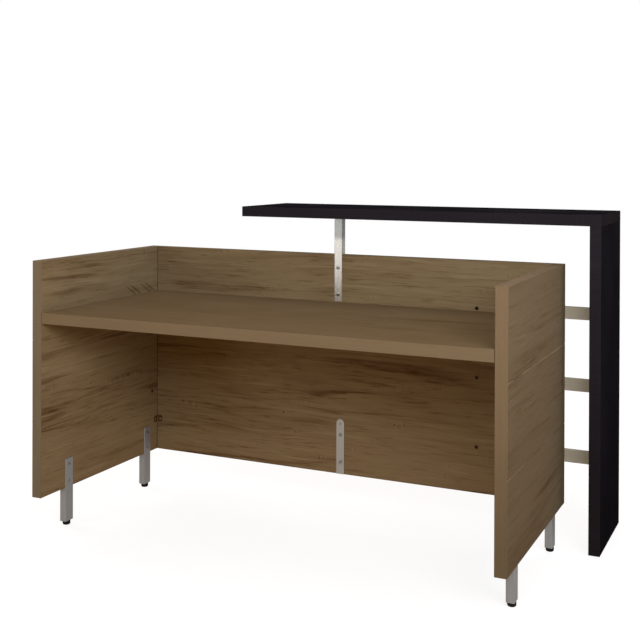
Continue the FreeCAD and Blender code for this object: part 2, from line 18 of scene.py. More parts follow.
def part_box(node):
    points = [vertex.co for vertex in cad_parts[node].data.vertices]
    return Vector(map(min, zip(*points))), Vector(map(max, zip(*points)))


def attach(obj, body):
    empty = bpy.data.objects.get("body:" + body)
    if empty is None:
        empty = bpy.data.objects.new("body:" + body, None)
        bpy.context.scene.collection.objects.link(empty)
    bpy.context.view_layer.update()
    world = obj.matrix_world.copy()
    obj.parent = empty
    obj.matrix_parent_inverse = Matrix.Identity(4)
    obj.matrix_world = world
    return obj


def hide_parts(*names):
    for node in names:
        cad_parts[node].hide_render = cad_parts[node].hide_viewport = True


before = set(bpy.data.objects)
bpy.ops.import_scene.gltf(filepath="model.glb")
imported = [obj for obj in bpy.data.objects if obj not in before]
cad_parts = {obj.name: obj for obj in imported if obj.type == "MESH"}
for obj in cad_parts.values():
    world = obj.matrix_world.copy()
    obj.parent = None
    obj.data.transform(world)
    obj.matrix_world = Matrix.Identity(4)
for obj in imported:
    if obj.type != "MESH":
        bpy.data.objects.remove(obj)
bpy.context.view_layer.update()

log = logging.getLogger("reception_desk")

Colour = tuple[float, float, float, float]
Socket = bpy.types.NodeSocket
Feed = Union[float, Sequence[float], Socket]
Feeds = Iterable[tuple[Union[int, str], Feed]]
Piece = bpy.types.Object
Box = tuple[Vector, Vector]
Test = Callable[[Vector, Vector], bool]

X_AXIS, Y_AXIS, Z_AXIS = Vector((1, 0, 0)), Vector((0, 1, 0)), Vector((0, 0, 1))
FEET = ("near_left", "near_right", "far_left", "far_right")
DESK = "desk"
NEAR = 1e-5
WELD = 1e-6
CROSS_TAPER = 0.6
DUST_SHARE = 0.05
JOINT_SHARE = 0.8
BLACK, WHITE = (0.0, 0.0, 0.0, 1.0), (1.0, 1.0, 1.0, 1.0)


def paint(red: int, green: int, blue: int) -> Colour:
    """Turn a colour as it looks on a screen into Blender's linear colour.

    Args:
        red: Red from 0 to 255.
        green: Green from 0 to 255.
        blue: Blue from 0 to 255.

    Returns:
        The linear colour, opaque.
    """
    shares = (level / 255 for level in (red, green, blue))
    linear = (s / 12.92 if s <= 0.04045 else ((s + 0.055) / 1.055) ** 2.4 for s in shares)
    return (*linear, 1.0)


def deselect() -> None:
    """Leave edit mode and select nothing."""
    if bpy.context.object is not None and bpy.context.object.mode != "OBJECT":
        bpy.ops.object.mode_set(mode="OBJECT")
    bpy.ops.object.select_all(action="DESELECT")


class Pick(Enum):
    """What a test picks out of a mesh."""

    FACES = "FACE"
    EDGES = "EDGE"


class Bench:
    """A piece in work: shaped in edit mode, with its faces and edges picked by their place."""

    def __init__(self, name: str) -> None:
        """Take up the primitive that was just added."""
        self.piece: Piece = bpy.context.object
        self.piece.name = self.piece.data.name = name
        bpy.ops.object.transform_apply(location=True, rotation=True, scale=True)

    @classmethod
    def rod(cls, name: str, radius: float, low: float, high: float, sides: int,
            lying: bool = False) -> "Bench":
        """Start from a round bar, on Z or lying on X.

        Args:
            name: The piece's name.
            radius: The bar's radius.
            low: Where it starts on its axis.
            high: Where it ends.
            sides: Number of flat sides.
            lying: True lays the bar on X.

        Returns:
            The bar on the bench.
        """
        deselect()
        middle = (low + high) / 2
        place, turn = ((middle, 0, 0), (0, math.pi / 2, 0)) if lying else ((0, 0, middle), (0, 0, 0))
        bpy.ops.mesh.primitive_cylinder_add(vertices=sides, radius=radius, depth=high - low,
                                            location=place, rotation=turn)
        return cls(name)

    @classmethod
    def block(cls, name: str, low: Sequence[float], high: Sequence[float]) -> "Bench":
        """Start from a block between two corners.

        Args:
            name: The piece's name.
            low: The lowest corner.
            high: The highest corner.

        Returns:
            The block on the bench.
        """
        deselect()
        bpy.ops.mesh.primitive_cube_add(size=1.0, location=[(a + b) / 2 for a, b in zip(low, high)],
                                        scale=[b - a for a, b in zip(low, high)])
        return cls(name)

    def take_up(self) -> None:
        """Select this piece alone and make it the active one."""
        deselect()
        self.piece.select_set(True)
        bpy.context.view_layer.objects.active = self.piece

    def pick(self, kind: Pick, test: Test) -> "Bench":
        """Select the faces or edges that pass a test.

        Args:
            kind: Faces or edges.
            test: Takes the middle, and a face's normal or an edge's direction.

        Returns:
            The bench, to go on.
        """
        self.take_up()
        bpy.ops.object.mode_set(mode="EDIT")
        bpy.ops.mesh.select_mode(type=kind.value)
        bpy.ops.mesh.select_all(action="DESELECT")
        mesh = bmesh.from_edit_mesh(self.piece.data)
        mesh.normal_update()
        if kind is Pick.FACES:
            for face in mesh.faces:
                face.select_set(test(face.calc_center_median(), face.normal))
        else:
            for edge in mesh.edges:
                a, b = (corner.co for corner in edge.verts)
                edge.select_set(test((a + b) / 2, (b - a).normalized()))
        bmesh.update_edit_mesh(self.piece.data)
        return self

    def ring(self, level: float) -> "Bench":
        """Pick the level edges at a height."""
        return self.pick(Pick.EDGES, lambda at, run: abs(at.z - level) < NEAR and abs(run.z) < NEAR)

    def cap(self, level: float, reach: float = 1.0) -> "Bench":
        """Pick the level faces at a height, within a reach of the axis."""
        return self.pick(Pick.FACES, lambda at, out: abs(at.z - level) < NEAR and abs(out.z) > 0.99
                         and at.xy.length < reach)

    def bevel(self, width: float, segments: int) -> "Bench":
        """Round the picked edges."""
        bpy.ops.mesh.bevel(offset=width, offset_type="OFFSET", segments=segments, affect="EDGES")
        return self

    def inset(self, width: float, rise: float = 0.0, each: bool = False) -> "Bench":
        """Inset the picked faces, together or each on its own, and raise or sink them."""
        bpy.ops.mesh.inset(thickness=width, depth=rise, use_individual=each)
        return self

    def push(self, *move: float) -> "Bench":
        """Extrude the picked faces by a move."""
        bpy.ops.mesh.extrude_region_move(TRANSFORM_OT_translate={"value": move})
        return self

    def shift(self, *move: float) -> "Bench":
        """Move what is picked; a fresh start is picked all over."""
        bpy.ops.object.mode_set(mode="EDIT")
        bpy.ops.transform.translate(value=move)
        return self

    def tip(self, angle: float) -> "Bench":
        """Turn what is picked about X; a fresh start is picked all over."""
        bpy.ops.object.mode_set(mode="EDIT")
        bpy.ops.transform.rotate(value=angle, orient_axis="X", center_override=(0, 0, 0))
        return self

    def resize(self, factor: float, about: Sequence[float]) -> "Bench":
        """Scale what is picked about a point."""
        bpy.ops.transform.resize(value=(factor, factor, factor), center_override=about)
        return self

    def cut(self, tool: "Bench") -> None:
        """Cut another piece's shape out of this one and put that piece away.

        Args:
            tool: The bench with the shape to cut out.
        """
        self.take_up()
        trim = self.piece.modifiers.new("trim", "BOOLEAN")
        trim.object, trim.operation, trim.solver = tool.piece, "DIFFERENCE", "EXACT"
        bpy.ops.object.modifier_apply(modifier=trim.name)
        bpy.data.objects.remove(tool.piece)

    def cut_cross(self, level: float, width: float, length: float, depth: float) -> None:
        """Cut a cross recess with sloping ends into a head.

        Args:
            level: The head's top.
            width: Width of each slot.
            length: Length of each slot.
            depth: How deep the cross goes.
        """
        floor, top = level - depth, level + depth
        for half_x, half_y in ((length / 2, width / 2), (width / 2, length / 2)):
            slot = Bench.block("cross_slot", (-half_x, -half_y, floor), (half_x, half_y, top))
            slot.cap(floor).resize(CROSS_TAPER, (0, 0, floor))
            self.cut(slot)

    def line(self, finish: "Finish", test: Test) -> None:
        """Give the faces that pass a test a finish of their own.

        Args:
            finish: The faces' finish; the rest of the piece is dressed later.
            test: Takes a face's middle and normal.
        """
        while len(self.piece.data.materials) < 2:
            self.piece.data.materials.append(None)
        self.piece.data.materials[1] = finish.material()
        self.pick(Pick.FACES, test)
        self.piece.active_material_index = 1
        bpy.ops.object.material_slot_assign()

    def done(self, angle: float = 35.0) -> Piece:
        """Close the mesh, turn its faces outwards and smooth its rounds.

        Args:
            angle: Edges sharper than this stay sharp, in degrees.

        Returns:
            The finished piece.
        """
        self.pick(Pick.FACES, lambda at, out: True)
        bpy.ops.mesh.remove_doubles(threshold=WELD)
        bpy.ops.mesh.normals_make_consistent(inside=False)
        self.take_up()
        bpy.ops.object.shade_smooth_by_angle(angle=math.radians(angle))
        deselect()
        return self.piece


def solid_boxes(node: str) -> list[Box]:
    """Find the box of each separate solid in a CAD node.

    Args:
        node: The node's name.

    Returns:
        The boxes, ordered by their lowest corners.
    """
    mesh = bmesh.new()
    mesh.from_mesh(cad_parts[node].data)
    bmesh.ops.remove_doubles(mesh, verts=mesh.verts, dist=WELD)
    left, boxes = set(mesh.verts), []
    while left:
        rim, found = [left.pop()], []
        while rim:
            corner = rim.pop()
            found.append(corner.co.copy())
            fresh = {edge.other_vert(corner) for edge in corner.link_edges} & left
            left -= fresh
            rim += fresh
        boxes.append(tuple(Vector(pick(p[i] for p in found) for i in range(3)) for pick in (min, max)))
    mesh.free()
    return sorted(boxes, key=lambda box: tuple(round(v, 5) for v in box[0]))


def middle_of(box: Box) -> Vector:
    """The middle of a box."""
    return (box[0] + box[1]) / 2


def end_of(box: Box, facing: Vector) -> Vector:
    """The middle of a box's face on the side that it faces."""
    half = (box[1] - box[0]) / 2
    return middle_of(box) + Vector(f * h for f, h in zip(facing, half))


def seat(at: Vector, facing: Vector, aside: Vector) -> Matrix:
    """The matrix that puts a piece's origin at a place, its Z along facing and its X along aside."""
    turn = Matrix((aside, facing.cross(aside), facing)).transposed()
    return Matrix.Translation(at) @ turn.to_4x4()


def place_copy(master: Piece, name: str, matrix: Matrix, node: str, body: str, finish: "Finish") -> None:
    """Copy a finished piece to its place, dress it and let it stand for its CAD node.

    Args:
        master: The piece to copy.
        name: The copy's name.
        matrix: Where the copy goes.
        node: The CAD node that it stands for.
        body: The body that it rides.
        finish: Its finish.
    """
    piece = master.copy()
    piece.data = master.data.copy()
    piece.name = piece.data.name = name
    piece.data.transform(matrix)
    bpy.context.scene.collection.objects.link(piece)
    finish.dress(piece)
    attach(piece, body)
    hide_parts(node)
    log.info("%s: new piece for %s in %s", name, node, finish.name)


class NodeBoard:
    """A node tree, with short calls that add nodes and join them."""

    def __init__(self, tree: bpy.types.NodeTree) -> None:
        """Work on a tree."""
        self.tree = tree

    @classmethod
    def fresh(cls, owner: Union[bpy.types.Material, bpy.types.World]) -> "NodeBoard":
        """Start without nodes on a new material or world."""
        owner.use_nodes = True
        owner.node_tree.nodes.clear()
        return cls(owner.node_tree)

    def add(self, kind: str, feeds: Feeds = (), **settings: object) -> bpy.types.Node:
        """Add a node.

        Args:
            kind: The node's type name.
            feeds: Pairs of an input's name or number and what feeds it: an output or a plain value.
            settings: Properties to set on it.

        Returns:
            The new node.
        """
        node = self.tree.nodes.new(kind)
        for name, value in settings.items():
            setattr(node, name, value)
        for key, value in feeds:
            if isinstance(value, Socket):
                self.tree.links.new(value, node.inputs[key])
            else:
                node.inputs[key].default_value = value
        return node

    def math(self, operation: str, *values: Feed) -> Socket:
        """Calculate with numbers, by the name of a Math node's operation."""
        return self.add("ShaderNodeMath", enumerate(values), operation=operation).outputs[0]

    def vector(self, operation: str, *values: Feed) -> Socket:
        """Calculate with vectors, by the name of a Vector Math node's operation."""
        return self.add("ShaderNodeVectorMath", enumerate(values), operation=operation).outputs[0]

    def total(self, *terms: tuple[Feed, float]) -> Socket:
        """Add up values with weights.

        Args:
            terms: Pairs of a value and its weight.

        Returns:
            The sum.
        """
        result: Feed = 0.0
        for value, weight in terms:
            result = self.math("MULTIPLY_ADD", value, weight, result)
        return result

    def band(self, value: Feed, low: float, high: float) -> Socket:
        """Rise smoothly from 0 at low to 1 at high; with low above high, fall."""
        feeds = (("Value", value), ("From Min", low), ("From Max", high))
        return self.add("ShaderNodeMapRange", feeds, interpolation_type="SMOOTHSTEP").outputs["Result"]

    def split(self, vector: Socket) -> dict[str, Socket]:
        """The three parts of a vector, by the names X, Y and Z."""
        return {part.name: part for part in self.add("ShaderNodeSeparateXYZ", [(0, vector)]).outputs}

    def joined(self, *parts: Feed) -> Socket:
        """Make a vector of three parts."""
        return self.add("ShaderNodeCombineXYZ", enumerate(parts)).outputs[0]

    def noise(self, vector: Socket, scale: Sequence[float], detail: float = 2.0,
              roughness: float = 0.5) -> Socket:
        """Smooth noise from 0 to 1, with its own stretch along each axis.

        Args:
            vector: The place on the piece.
            scale: Waves per metre along the three axes.
            detail: Number of finer layers.
            roughness: Strength of the finer layers.

        Returns:
            The noise.
        """
        place = self.vector("MULTIPLY", vector, scale)
        feeds = (("Vector", place), ("Scale", 1.0), ("Detail", detail), ("Roughness", roughness))
        return self.add("ShaderNodeTexNoise", feeds).outputs["Fac"]

    def ramp(self, value: Socket, stops: Sequence[tuple[float, Colour]]) -> Socket:
        """Turn a value into a colour.

        Args:
            value: The value, from 0 to 1.
            stops: Pairs of a position and a colour, in rising order.

        Returns:
            The colour.
        """
        node = self.add("ShaderNodeValToRGB", [(0, value)])
        elements = node.color_ramp.elements
        for position, _ in stops[2:]:
            elements.new(position)
        for element, (position, colour) in zip(elements, stops):
            element.position = position
            element.color = colour
        return node.outputs["Color"]

    def mix(self, share: Feed, first: Feed, second: Feed, blend: str = "MIX") -> Socket:
        """Mix two colours; the share, from 0 to 1, is how much of the second shows."""
        feeds = ((0, share), (6, first), (7, second))
        return self.add("ShaderNodeMix", feeds, data_type="RGBA", blend_type=blend).outputs[2]

    def bump(self, height: Socket, depth: float) -> Socket:
        """A normal for a relief of the given depth in metres, from a height of 0 to 1."""
        feeds = (("Strength", 1.0), ("Distance", depth), ("Height", height))
        return self.add("ShaderNodeBump", feeds).outputs["Normal"]

    def place(self, shift: Sequence[float] = (0, 0, 0)) -> Socket:
        """The place on the piece in its own coordinates, shifted to another part of a pattern."""
        return self.vector("ADD", self.add("ShaderNodeTexCoord").outputs["Object"], shift)

    def upward(self, normal: str = "True Normal") -> Socket:
        """How far the surface faces up, from -1 to 1."""
        return self.split(self.add("ShaderNodeNewGeometry").outputs[normal])["Z"]

    def near(self, spots: Sequence[tuple[str, float]], reach: float) -> Socket:
        """Find what lies close to any of some spots on the axes.

        Args:
            spots: Pairs of an axis and a place on it.
            reach: How far a spot reaches to each side.

        Returns:
            1 within reach of a spot and 0 elsewhere.
        """
        parts = self.split(self.place())
        result: Feed = 0.0
        for axis, at in spots:
            result = self.math("MAXIMUM", result, self.math("COMPARE", parts[axis], at, reach))
        return result


class EffectGroup:
    """A shader node group with named inputs and outputs, built once and used by many finishes."""

    title = ""
    inputs: Mapping[str, tuple[str, Feed]] = {}
    outputs: Sequence[str] = ()

    @classmethod
    def tree(cls) -> bpy.types.NodeTree:
        """The group's tree, built at its first use.

        Returns:
            The shader node group.
        """
        found = bpy.data.node_groups.get(cls.title)
        if found is not None:
            return found
        tree = bpy.data.node_groups.new(cls.title, "ShaderNodeTree")
        for name, (kind, value) in cls.inputs.items():
            socket = tree.interface.new_socket(name, in_out="INPUT", socket_type=kind)
            socket.default_value = value
        for name in cls.outputs:
            tree.interface.new_socket(name, in_out="OUTPUT", socket_type="NodeSocketFloat")
        board = NodeBoard(tree)
        given = board.add("NodeGroupInput").outputs
        board.add("NodeGroupOutput", cls.wire(board, given).items())
        return tree

    @classmethod
    def wire(cls, board: NodeBoard, given: bpy.types.NodeOutputs) -> dict[str, Socket]:
        """Join the group's nodes from its given inputs, and tell what feeds each output."""
        raise NotImplementedError

    @classmethod
    def use(cls, board: NodeBoard, **values: Feed) -> bpy.types.NodeOutputs:
        """Place the group in a material, with what feeds each input, and give its outputs."""
        return board.add("ShaderNodeGroup", values.items(), node_tree=cls.tree()).outputs


PLACE_INPUT = {"Place": ("NodeSocketVector", (0.0, 0.0, 0.0))}


class TimberFigure(EffectGroup):
    """The figure of a plain-sawn oak board. Place is (along, across, depth) of the grain."""

    title = "timber_figure"
    inputs = PLACE_INPUT
    outputs = ("Tone", "Streak", "Height")

    @classmethod
    def wire(cls, board: NodeBoard, given: bpy.types.NodeOutputs) -> dict[str, Socket]:
        """Layer growth rings, dark and light threads, fibres, pores and saw ticks.

        Args:
            board: The group's own board.
            given: The group's inputs, by name.

        Returns:
            Tone from dark to light, the mask of dark streaks, and the relief's height.
        """
        place = given["Place"]
        sway = board.noise(place, (0.9, 2.6, 2.6))
        ripple = board.noise(place, (4.0, 14.0, 14.0))
        curl = board.noise(place, (16.0, 55.0, 55.0))
        drift = board.total((sway, 0.045), (ripple, 0.014), (curl, 0.003))
        bent = board.vector("ADD", place, board.joined(0.0, drift, 0.0))
        zone = board.band(board.noise(place, (0.8, 3.0, 3.0), detail=1.0), 0.40, 0.60)

        heart = board.noise(bent, (0.45, 6.5, 6.5), detail=1.0, roughness=0.35)
        ring = board.band(board.math("PINGPONG", board.math("MULTIPLY", heart, 9.0), 0.5), 0.36, 0.50)
        ring_patch = board.band(board.noise(bent, (1.0, 7.0, 7.0)), 0.42, 0.64)
        rings = board.math("MULTIPLY", ring, ring_patch)

        broad = board.noise(bent, (0.7, 5.0, 5.0), detail=3.0)
        fibre = board.noise(bent, (3.5, 330.0, 330.0), detail=4.0, roughness=0.65)
        swell = board.band(board.noise(bent, (1.7, 15.0, 15.0), detail=3.0, roughness=0.6), 0.50, 0.70)
        thread = board.band(board.noise(bent, (2.2, 62.0, 62.0), detail=3.0, roughness=0.55), 0.54, 0.70)
        bundle = board.band(board.noise(bent, (0.9, 9.0, 9.0)), 0.48, 0.66)
        presence = board.total((bundle, 0.50), (zone, 0.35), (1.0, 0.20))
        streak = board.total((board.math("MULTIPLY", swell, presence), 0.65),
                             (board.math("MULTIPLY", thread, presence), 0.50))

        lifted = board.vector("ADD", bent, (3.0, 0.0, 0.0))
        gleam = board.band(board.noise(lifted, (4.0, 95.0, 95.0), detail=3.0), 0.55, 0.70)
        dashes = board.band(board.noise(bent, (11.0, 130.0, 130.0), roughness=0.6), 0.54, 0.69)
        pores = board.band(board.noise(bent, (45.0, 1300.0, 1300.0)), 0.62, 0.72)
        tick_patch = board.band(board.noise(place, (7.0, 22.0, 22.0)), 0.62, 0.72)
        tick_lines = board.band(board.noise(place, (150.0, 30.0, 30.0)), 0.38, 0.62)
        ticks = board.math("MULTIPLY", tick_patch, board.total((tick_lines, 2.0), (1.0, -1.0)))

        tone = board.total((broad, 0.50), (fibre, 0.42), (rings, -0.20), (streak, -0.40),
                           (dashes, -0.13), (gleam, 0.14), (ticks, 0.10), (pores, -0.08), (1.0, 0.12))
        height = board.total((fibre, 0.5), (pores, -0.6), (ticks, 0.2), (streak, -0.2), (1.0, 0.5))
        return {"Tone": tone, "Streak": streak, "Height": height}


class HandlingMarks(EffectGroup):
    """Cloudy wipe marks that change a surface's gloss from place to place."""

    title = "handling_marks"
    inputs = PLACE_INPUT
    outputs = ("Mask",)

    @classmethod
    def wire(cls, board: NodeBoard, given: bpy.types.NodeOutputs) -> dict[str, Socket]:
        """Layer wide clouds and short wipes.

        Args:
            board: The group's own board.
            given: The group's inputs, by name.

        Returns:
            The mask, from 0 to 1.
        """
        clouds = board.noise(given["Place"], (5.0, 5.0, 5.0), detail=4.0)
        wipes = board.noise(given["Place"], (9.0, 45.0, 45.0), detail=3.0)
        return {"Mask": board.band(board.total((clouds, 0.7), (wipes, 0.3)), 0.35, 0.68)}


class BrushedLines(EffectGroup):
    """Fine lines left by brushing. Place is (along, across, depth) of the lines."""

    title = "brushed_lines"
    inputs = PLACE_INPUT
    outputs = ("Line",)

    @classmethod
    def wire(cls, board: NodeBoard, given: bpy.types.NodeOutputs) -> dict[str, Socket]:
        """Layer long hairlines of two widths.

        Args:
            board: The group's own board.
            given: The group's inputs, by name.

        Returns:
            The lines, from 0 to 1.
        """
        fine = board.noise(given["Place"], (14.0, 2600.0, 2600.0), detail=2.0, roughness=0.7)
        wide = board.noise(given["Place"], (5.0, 420.0, 420.0), detail=2.0)
        return {"Line": board.total((fine, 0.65), (wide, 0.35))}


class FinePebble(EffectGroup):
    """The small pebbled relief of laminate and moulded plastic."""

    title = "fine_pebble"
    inputs = {**PLACE_INPUT, "Grains": ("NodeSocketFloat", 900.0)}
    outputs = ("Height",)

    @classmethod
    def wire(cls, board: NodeBoard, given: bpy.types.NodeOutputs) -> dict[str, Socket]:
        """Blend rounded cells with noise.

        Args:
            board: The group's own board.
            given: The group's inputs, by name.

        Returns:
            The height, from 0 to 1.
        """
        feeds = (("Vector", given["Place"]), ("Scale", given["Grains"]))
        cells = board.add("ShaderNodeTexVoronoi", feeds, feature="SMOOTH_F1")
        grain = board.noise(given["Place"], (2400.0, 2400.0, 2400.0))
        return {"Height": board.total((cells.outputs["Distance"], 0.7), (grain, 0.3))}


class SettledDust(EffectGroup):
    """A thin bloom of dust on surfaces that face up."""

    title = "settled_dust"
    inputs = PLACE_INPUT
    outputs = ("Mask",)

    @classmethod
    def wire(cls, board: NodeBoard, given: bpy.types.NodeOutputs) -> dict[str, Socket]:
        """Let cloudy noise through where the surface faces up.

        Args:
            board: The group's own board.
            given: The group's inputs, by name.

        Returns:
            The mask, from 0 to 1.
        """
        level = board.band(board.upward("Normal"), 0.5, 0.95)
        cloud = board.band(board.noise(given["Place"], (7.0, 7.0, 7.0), detail=5.0), 0.30, 0.75)
        return {"Mask": board.math("MULTIPLY", level, cloud)}


class PaintedFloorShade(EffectGroup):
    """Painted shade: boards that stand close to the floor get darker towards their lower end."""

    title = "painted_floor_shade"
    outputs = ("Mask",)

    @classmethod
    def wire(cls, board: NodeBoard, given: bpy.types.NodeOutputs) -> dict[str, Socket]:
        """Fade from the floor upwards, with a soft cloudy limit.

        Args:
            board: The group's own board.
            given: The group's inputs, by name.

        Returns:
            The mask, from 0 to 1.
        """
        place = board.place()
        cloud = board.noise(place, (3.0, 3.0, 6.0), detail=3.0)
        level = board.total((board.split(place)["Z"], 1.0), (cloud, 0.16), (1.0, -0.08))
        return {"Mask": board.band(level, 0.92, 0.08)}

    @classmethod
    def with_painted_shade(cls, board: NodeBoard, colour: Socket, loss: float) -> Socket:
        """A colour with painted shade: it loses a share of its light towards the floor."""
        left = 1 - loss
        return board.mix(cls.use(board)["Mask"], colour, (left, left, left, 1.0), "MULTIPLY")


def joint_mask(board: NodeBoard, joints: Sequence[tuple[str, float]], reach: float) -> Socket:
    """The fine dark lines where boards meet, from pairs of an axis and where a neighbour begins."""
    return board.math("MULTIPLY", board.near(joints, reach), JOINT_SHARE)


class GrainRun(Enum):
    """Which way lines or grain run on a piece, as its (along, across, depth) axes."""

    ALONG_X_UPRIGHT = ("X", "Z", "Y")
    ALONG_X_FLAT = ("X", "Y", "Z")
    ALONG_Y_UPRIGHT = ("Y", "Z", "X")
    ALONG_Z = ("Z", "X", "Y")

    def place(self, board: NodeBoard, shift: Sequence[float] = (0, 0, 0)) -> Socket:
        """The place on a piece, shifted, and turned so that the lines run along the first axis."""
        parts = board.split(board.place(shift))
        return board.joined(*(parts[axis] for axis in self.value))


@dataclass(frozen=True)
class Finish:
    """What every finish has: a name and a material that is made once."""

    name: str

    def material(self) -> bpy.types.Material:
        """The finish's material, made at its first use.

        Returns:
            The material, with a Principled BSDF as its shader.
        """
        title = f"{self.name}_finish"
        found = bpy.data.materials.get(title)
        if found is not None:
            return found
        material = bpy.data.materials.new(title)
        board = NodeBoard.fresh(material)
        shader = board.add("ShaderNodeBsdfPrincipled", self.wire(board).items())
        board.add("ShaderNodeOutputMaterial", [("Surface", shader.outputs["BSDF"])])
        return material

    def wire(self, board: NodeBoard) -> dict[str, Feed]:
        """Join the nodes of the material, and tell what feeds each of the shader's inputs."""
        raise NotImplementedError

    def dress(self, piece: Piece) -> None:
        """Give a piece this finish."""
        if not piece.material_slots:
            piece.data.materials.append(None)
        piece.material_slots[0].material = self.material()

    def dress_nodes(self, *names: str) -> None:
        """Give CAD nodes this finish and report each one."""
        for name in names:
            self.dress(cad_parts[name])
            log.info("%s: frame piece in %s", name, self.name)


@dataclass(frozen=True)
class OakLaminate(Finish):
    """Wood-effect laminate in brown oak with V grooves at the given heights, a painted highlight on the
    grooves' walls and painted shade in the bores.
    """

    grain: GrainRun
    shift: tuple[float, float, float]
    faces: tuple[float, float]
    grooves: tuple[float, ...] = ()
    strength: float = 1.0
    painted_floor_shade: float = 0.0
    joints: tuple[tuple[str, float], ...] = ()
    fleck: tuple[float, ...] = ()
    streak_share: float = 0.4
    fleck_share: float = 0.5
    fleck_lean: float = 1.7
    groove_slope: float = 0.25
    groove_reach: float = 0.0022
    joint_reach: float = 0.0012
    skin: float = 0.0007
    relief: float = 0.00012
    dark: Colour = paint(72, 50, 30)
    middle: Colour = paint(111, 95, 70)
    light: Colour = paint(126, 112, 86)
    streak: Colour = paint(66, 44, 24)
    # Painted highlight on the grooves' walls.
    groove_highlight: Colour = paint(160, 139, 112)
    # Painted shade in the bores; also the colour of the dark joint lines.
    core: Colour = paint(16, 10, 6)
    dust: Colour = paint(150, 140, 125)

    def wire(self, board: NodeBoard) -> dict[str, Feed]:
        """Colour the figure, the grooves with their painted highlight and the bores with their painted shade,
        and press the pores in.

        Args:
            board: The material's board.

        Returns:
            What feeds the shader's inputs, by name.
        """
        place = self.grain.place(board, self.shift)
        figure = TimberFigure.use(board, Place=place)
        marks = HandlingMarks.use(board, Place=place)["Mask"]
        dust = SettledDust.use(board, Place=place)["Mask"]
        tone = board.total((figure["Tone"], self.strength), (1.0, 0.5 - 0.5 * self.strength))
        colour = board.ramp(tone, ((0.15, self.dark), (0.5, self.middle), (0.85, self.light)))
        streaks = board.math("MULTIPLY", figure["Streak"], self.streak_share * self.strength)
        colour = board.mix(streaks, colour, self.streak)
        colour = board.mix(board.math("MULTIPLY", dust, DUST_SHARE), colour, self.dust)
        # Painted shade: the board darkens towards the floor.
        if self.painted_floor_shade:
            colour = PaintedFloorShade.with_painted_shade(board, colour, self.painted_floor_shade)
        if self.fleck:
            fan = board.math("MULTIPLY", self.fleck_mask(board), self.inner_mask(board))
            colour = board.mix(fan, colour, self.streak)
        if self.joints:
            line = joint_mask(board, self.joints, self.joint_reach)
            colour = board.mix(board.math("MULTIPLY", line, self.inner_mask(board)), colour, self.core)
        # Painted shade: near-black walls and floors in the bores.
        colour = board.mix(self.bore_shade_mask(board), colour, self.core)
        # Painted highlight: paler sloping walls in the grooves.
        if self.grooves:
            colour = board.mix(self.groove_highlight_mask(board), colour, self.groove_highlight)
        roughness = board.total((marks, 0.10), (figure["Streak"], 0.06), (1.0, 0.52))
        return {"Base Color": colour, "Roughness": roughness, "Specular IOR Level": 0.0,
                "Normal": board.bump(figure["Height"], self.relief)}

    def fleck_mask(self, board: NodeBoard) -> Socket:
        """Draw a fan of slanted dark strokes at one place on the board.

        Args:
            board: The material's board.

        Returns:
            The strokes, from 0 to 1.
        """
        along_at, across_at, half_along, half_across = self.fleck
        place = self.grain.place(board)
        parts = board.split(place)
        along = board.math("DIVIDE", board.math("SUBTRACT", parts["X"], along_at), half_along)
        across = board.math("DIVIDE", board.math("SUBTRACT", parts["Y"], across_at), half_across)
        square = board.math("ADD", board.math("POWER", along, 2.0), board.math("POWER", across, 2.0))
        reach = board.math("SQRT", square)
        slant = board.math("MULTIPLY", parts["Y"], self.fleck_lean)
        lean = board.vector("ADD", place, board.joined(slant, 0.0, 0.0))
        strokes = board.band(board.noise(lean, (55.0, 9.0, 9.0)), 0.48, 0.62)
        fan = board.math("MULTIPLY", strokes, board.band(reach, 1.0, 0.45))
        return board.math("MULTIPLY", fan, self.fleck_share)

    def depth(self, board: NodeBoard) -> Socket:
        """The place across the board's thickness."""
        return board.split(board.place())[self.grain.value[2]]

    def inner_mask(self, board: NodeBoard) -> Socket:
        """1 on the half of the board that looks towards the desk's middle, and 0 on the other."""
        middle = abs(sum(self.faces)) / 2
        return board.math("LESS_THAN", board.math("ABSOLUTE", self.depth(board)), middle)

    def bore_shade_mask(self, board: NodeBoard) -> Socket:
        """Find what lies between the board's faces, the walls and floors of its bores, which get painted
        shade.

        Args:
            board: The material's board.

        Returns:
            1 in a bore and 0 on the faces.
        """
        depth = self.depth(board)
        low, high = self.faces
        inside = board.math("GREATER_THAN", depth, low + self.skin)
        return board.math("MULTIPLY", inside, board.math("LESS_THAN", depth, high - self.skin))

    def groove_highlight_mask(self, board: NodeBoard) -> Socket:
        """Find the sloping walls of the V grooves, which get a painted highlight in patches.

        Args:
            board: The material's board.

        Returns:
            Up to 1 on the walls of the V grooves and 0 elsewhere.
        """
        near = board.near([("Z", height) for height in self.grooves], self.groove_reach)
        sloping = board.math("GREATER_THAN", board.math("ABSOLUTE", board.upward()), self.groove_slope)
        highlight_patches = board.noise(self.grain.place(board, self.shift), (9.0, 9.0, 9.0), detail=3.0)
        shown = board.total((board.band(highlight_patches, 0.36, 0.60), 0.42), (1.0, 0.18))
        return board.math("MULTIPLY", board.math("MULTIPLY", near, sloping), shown)


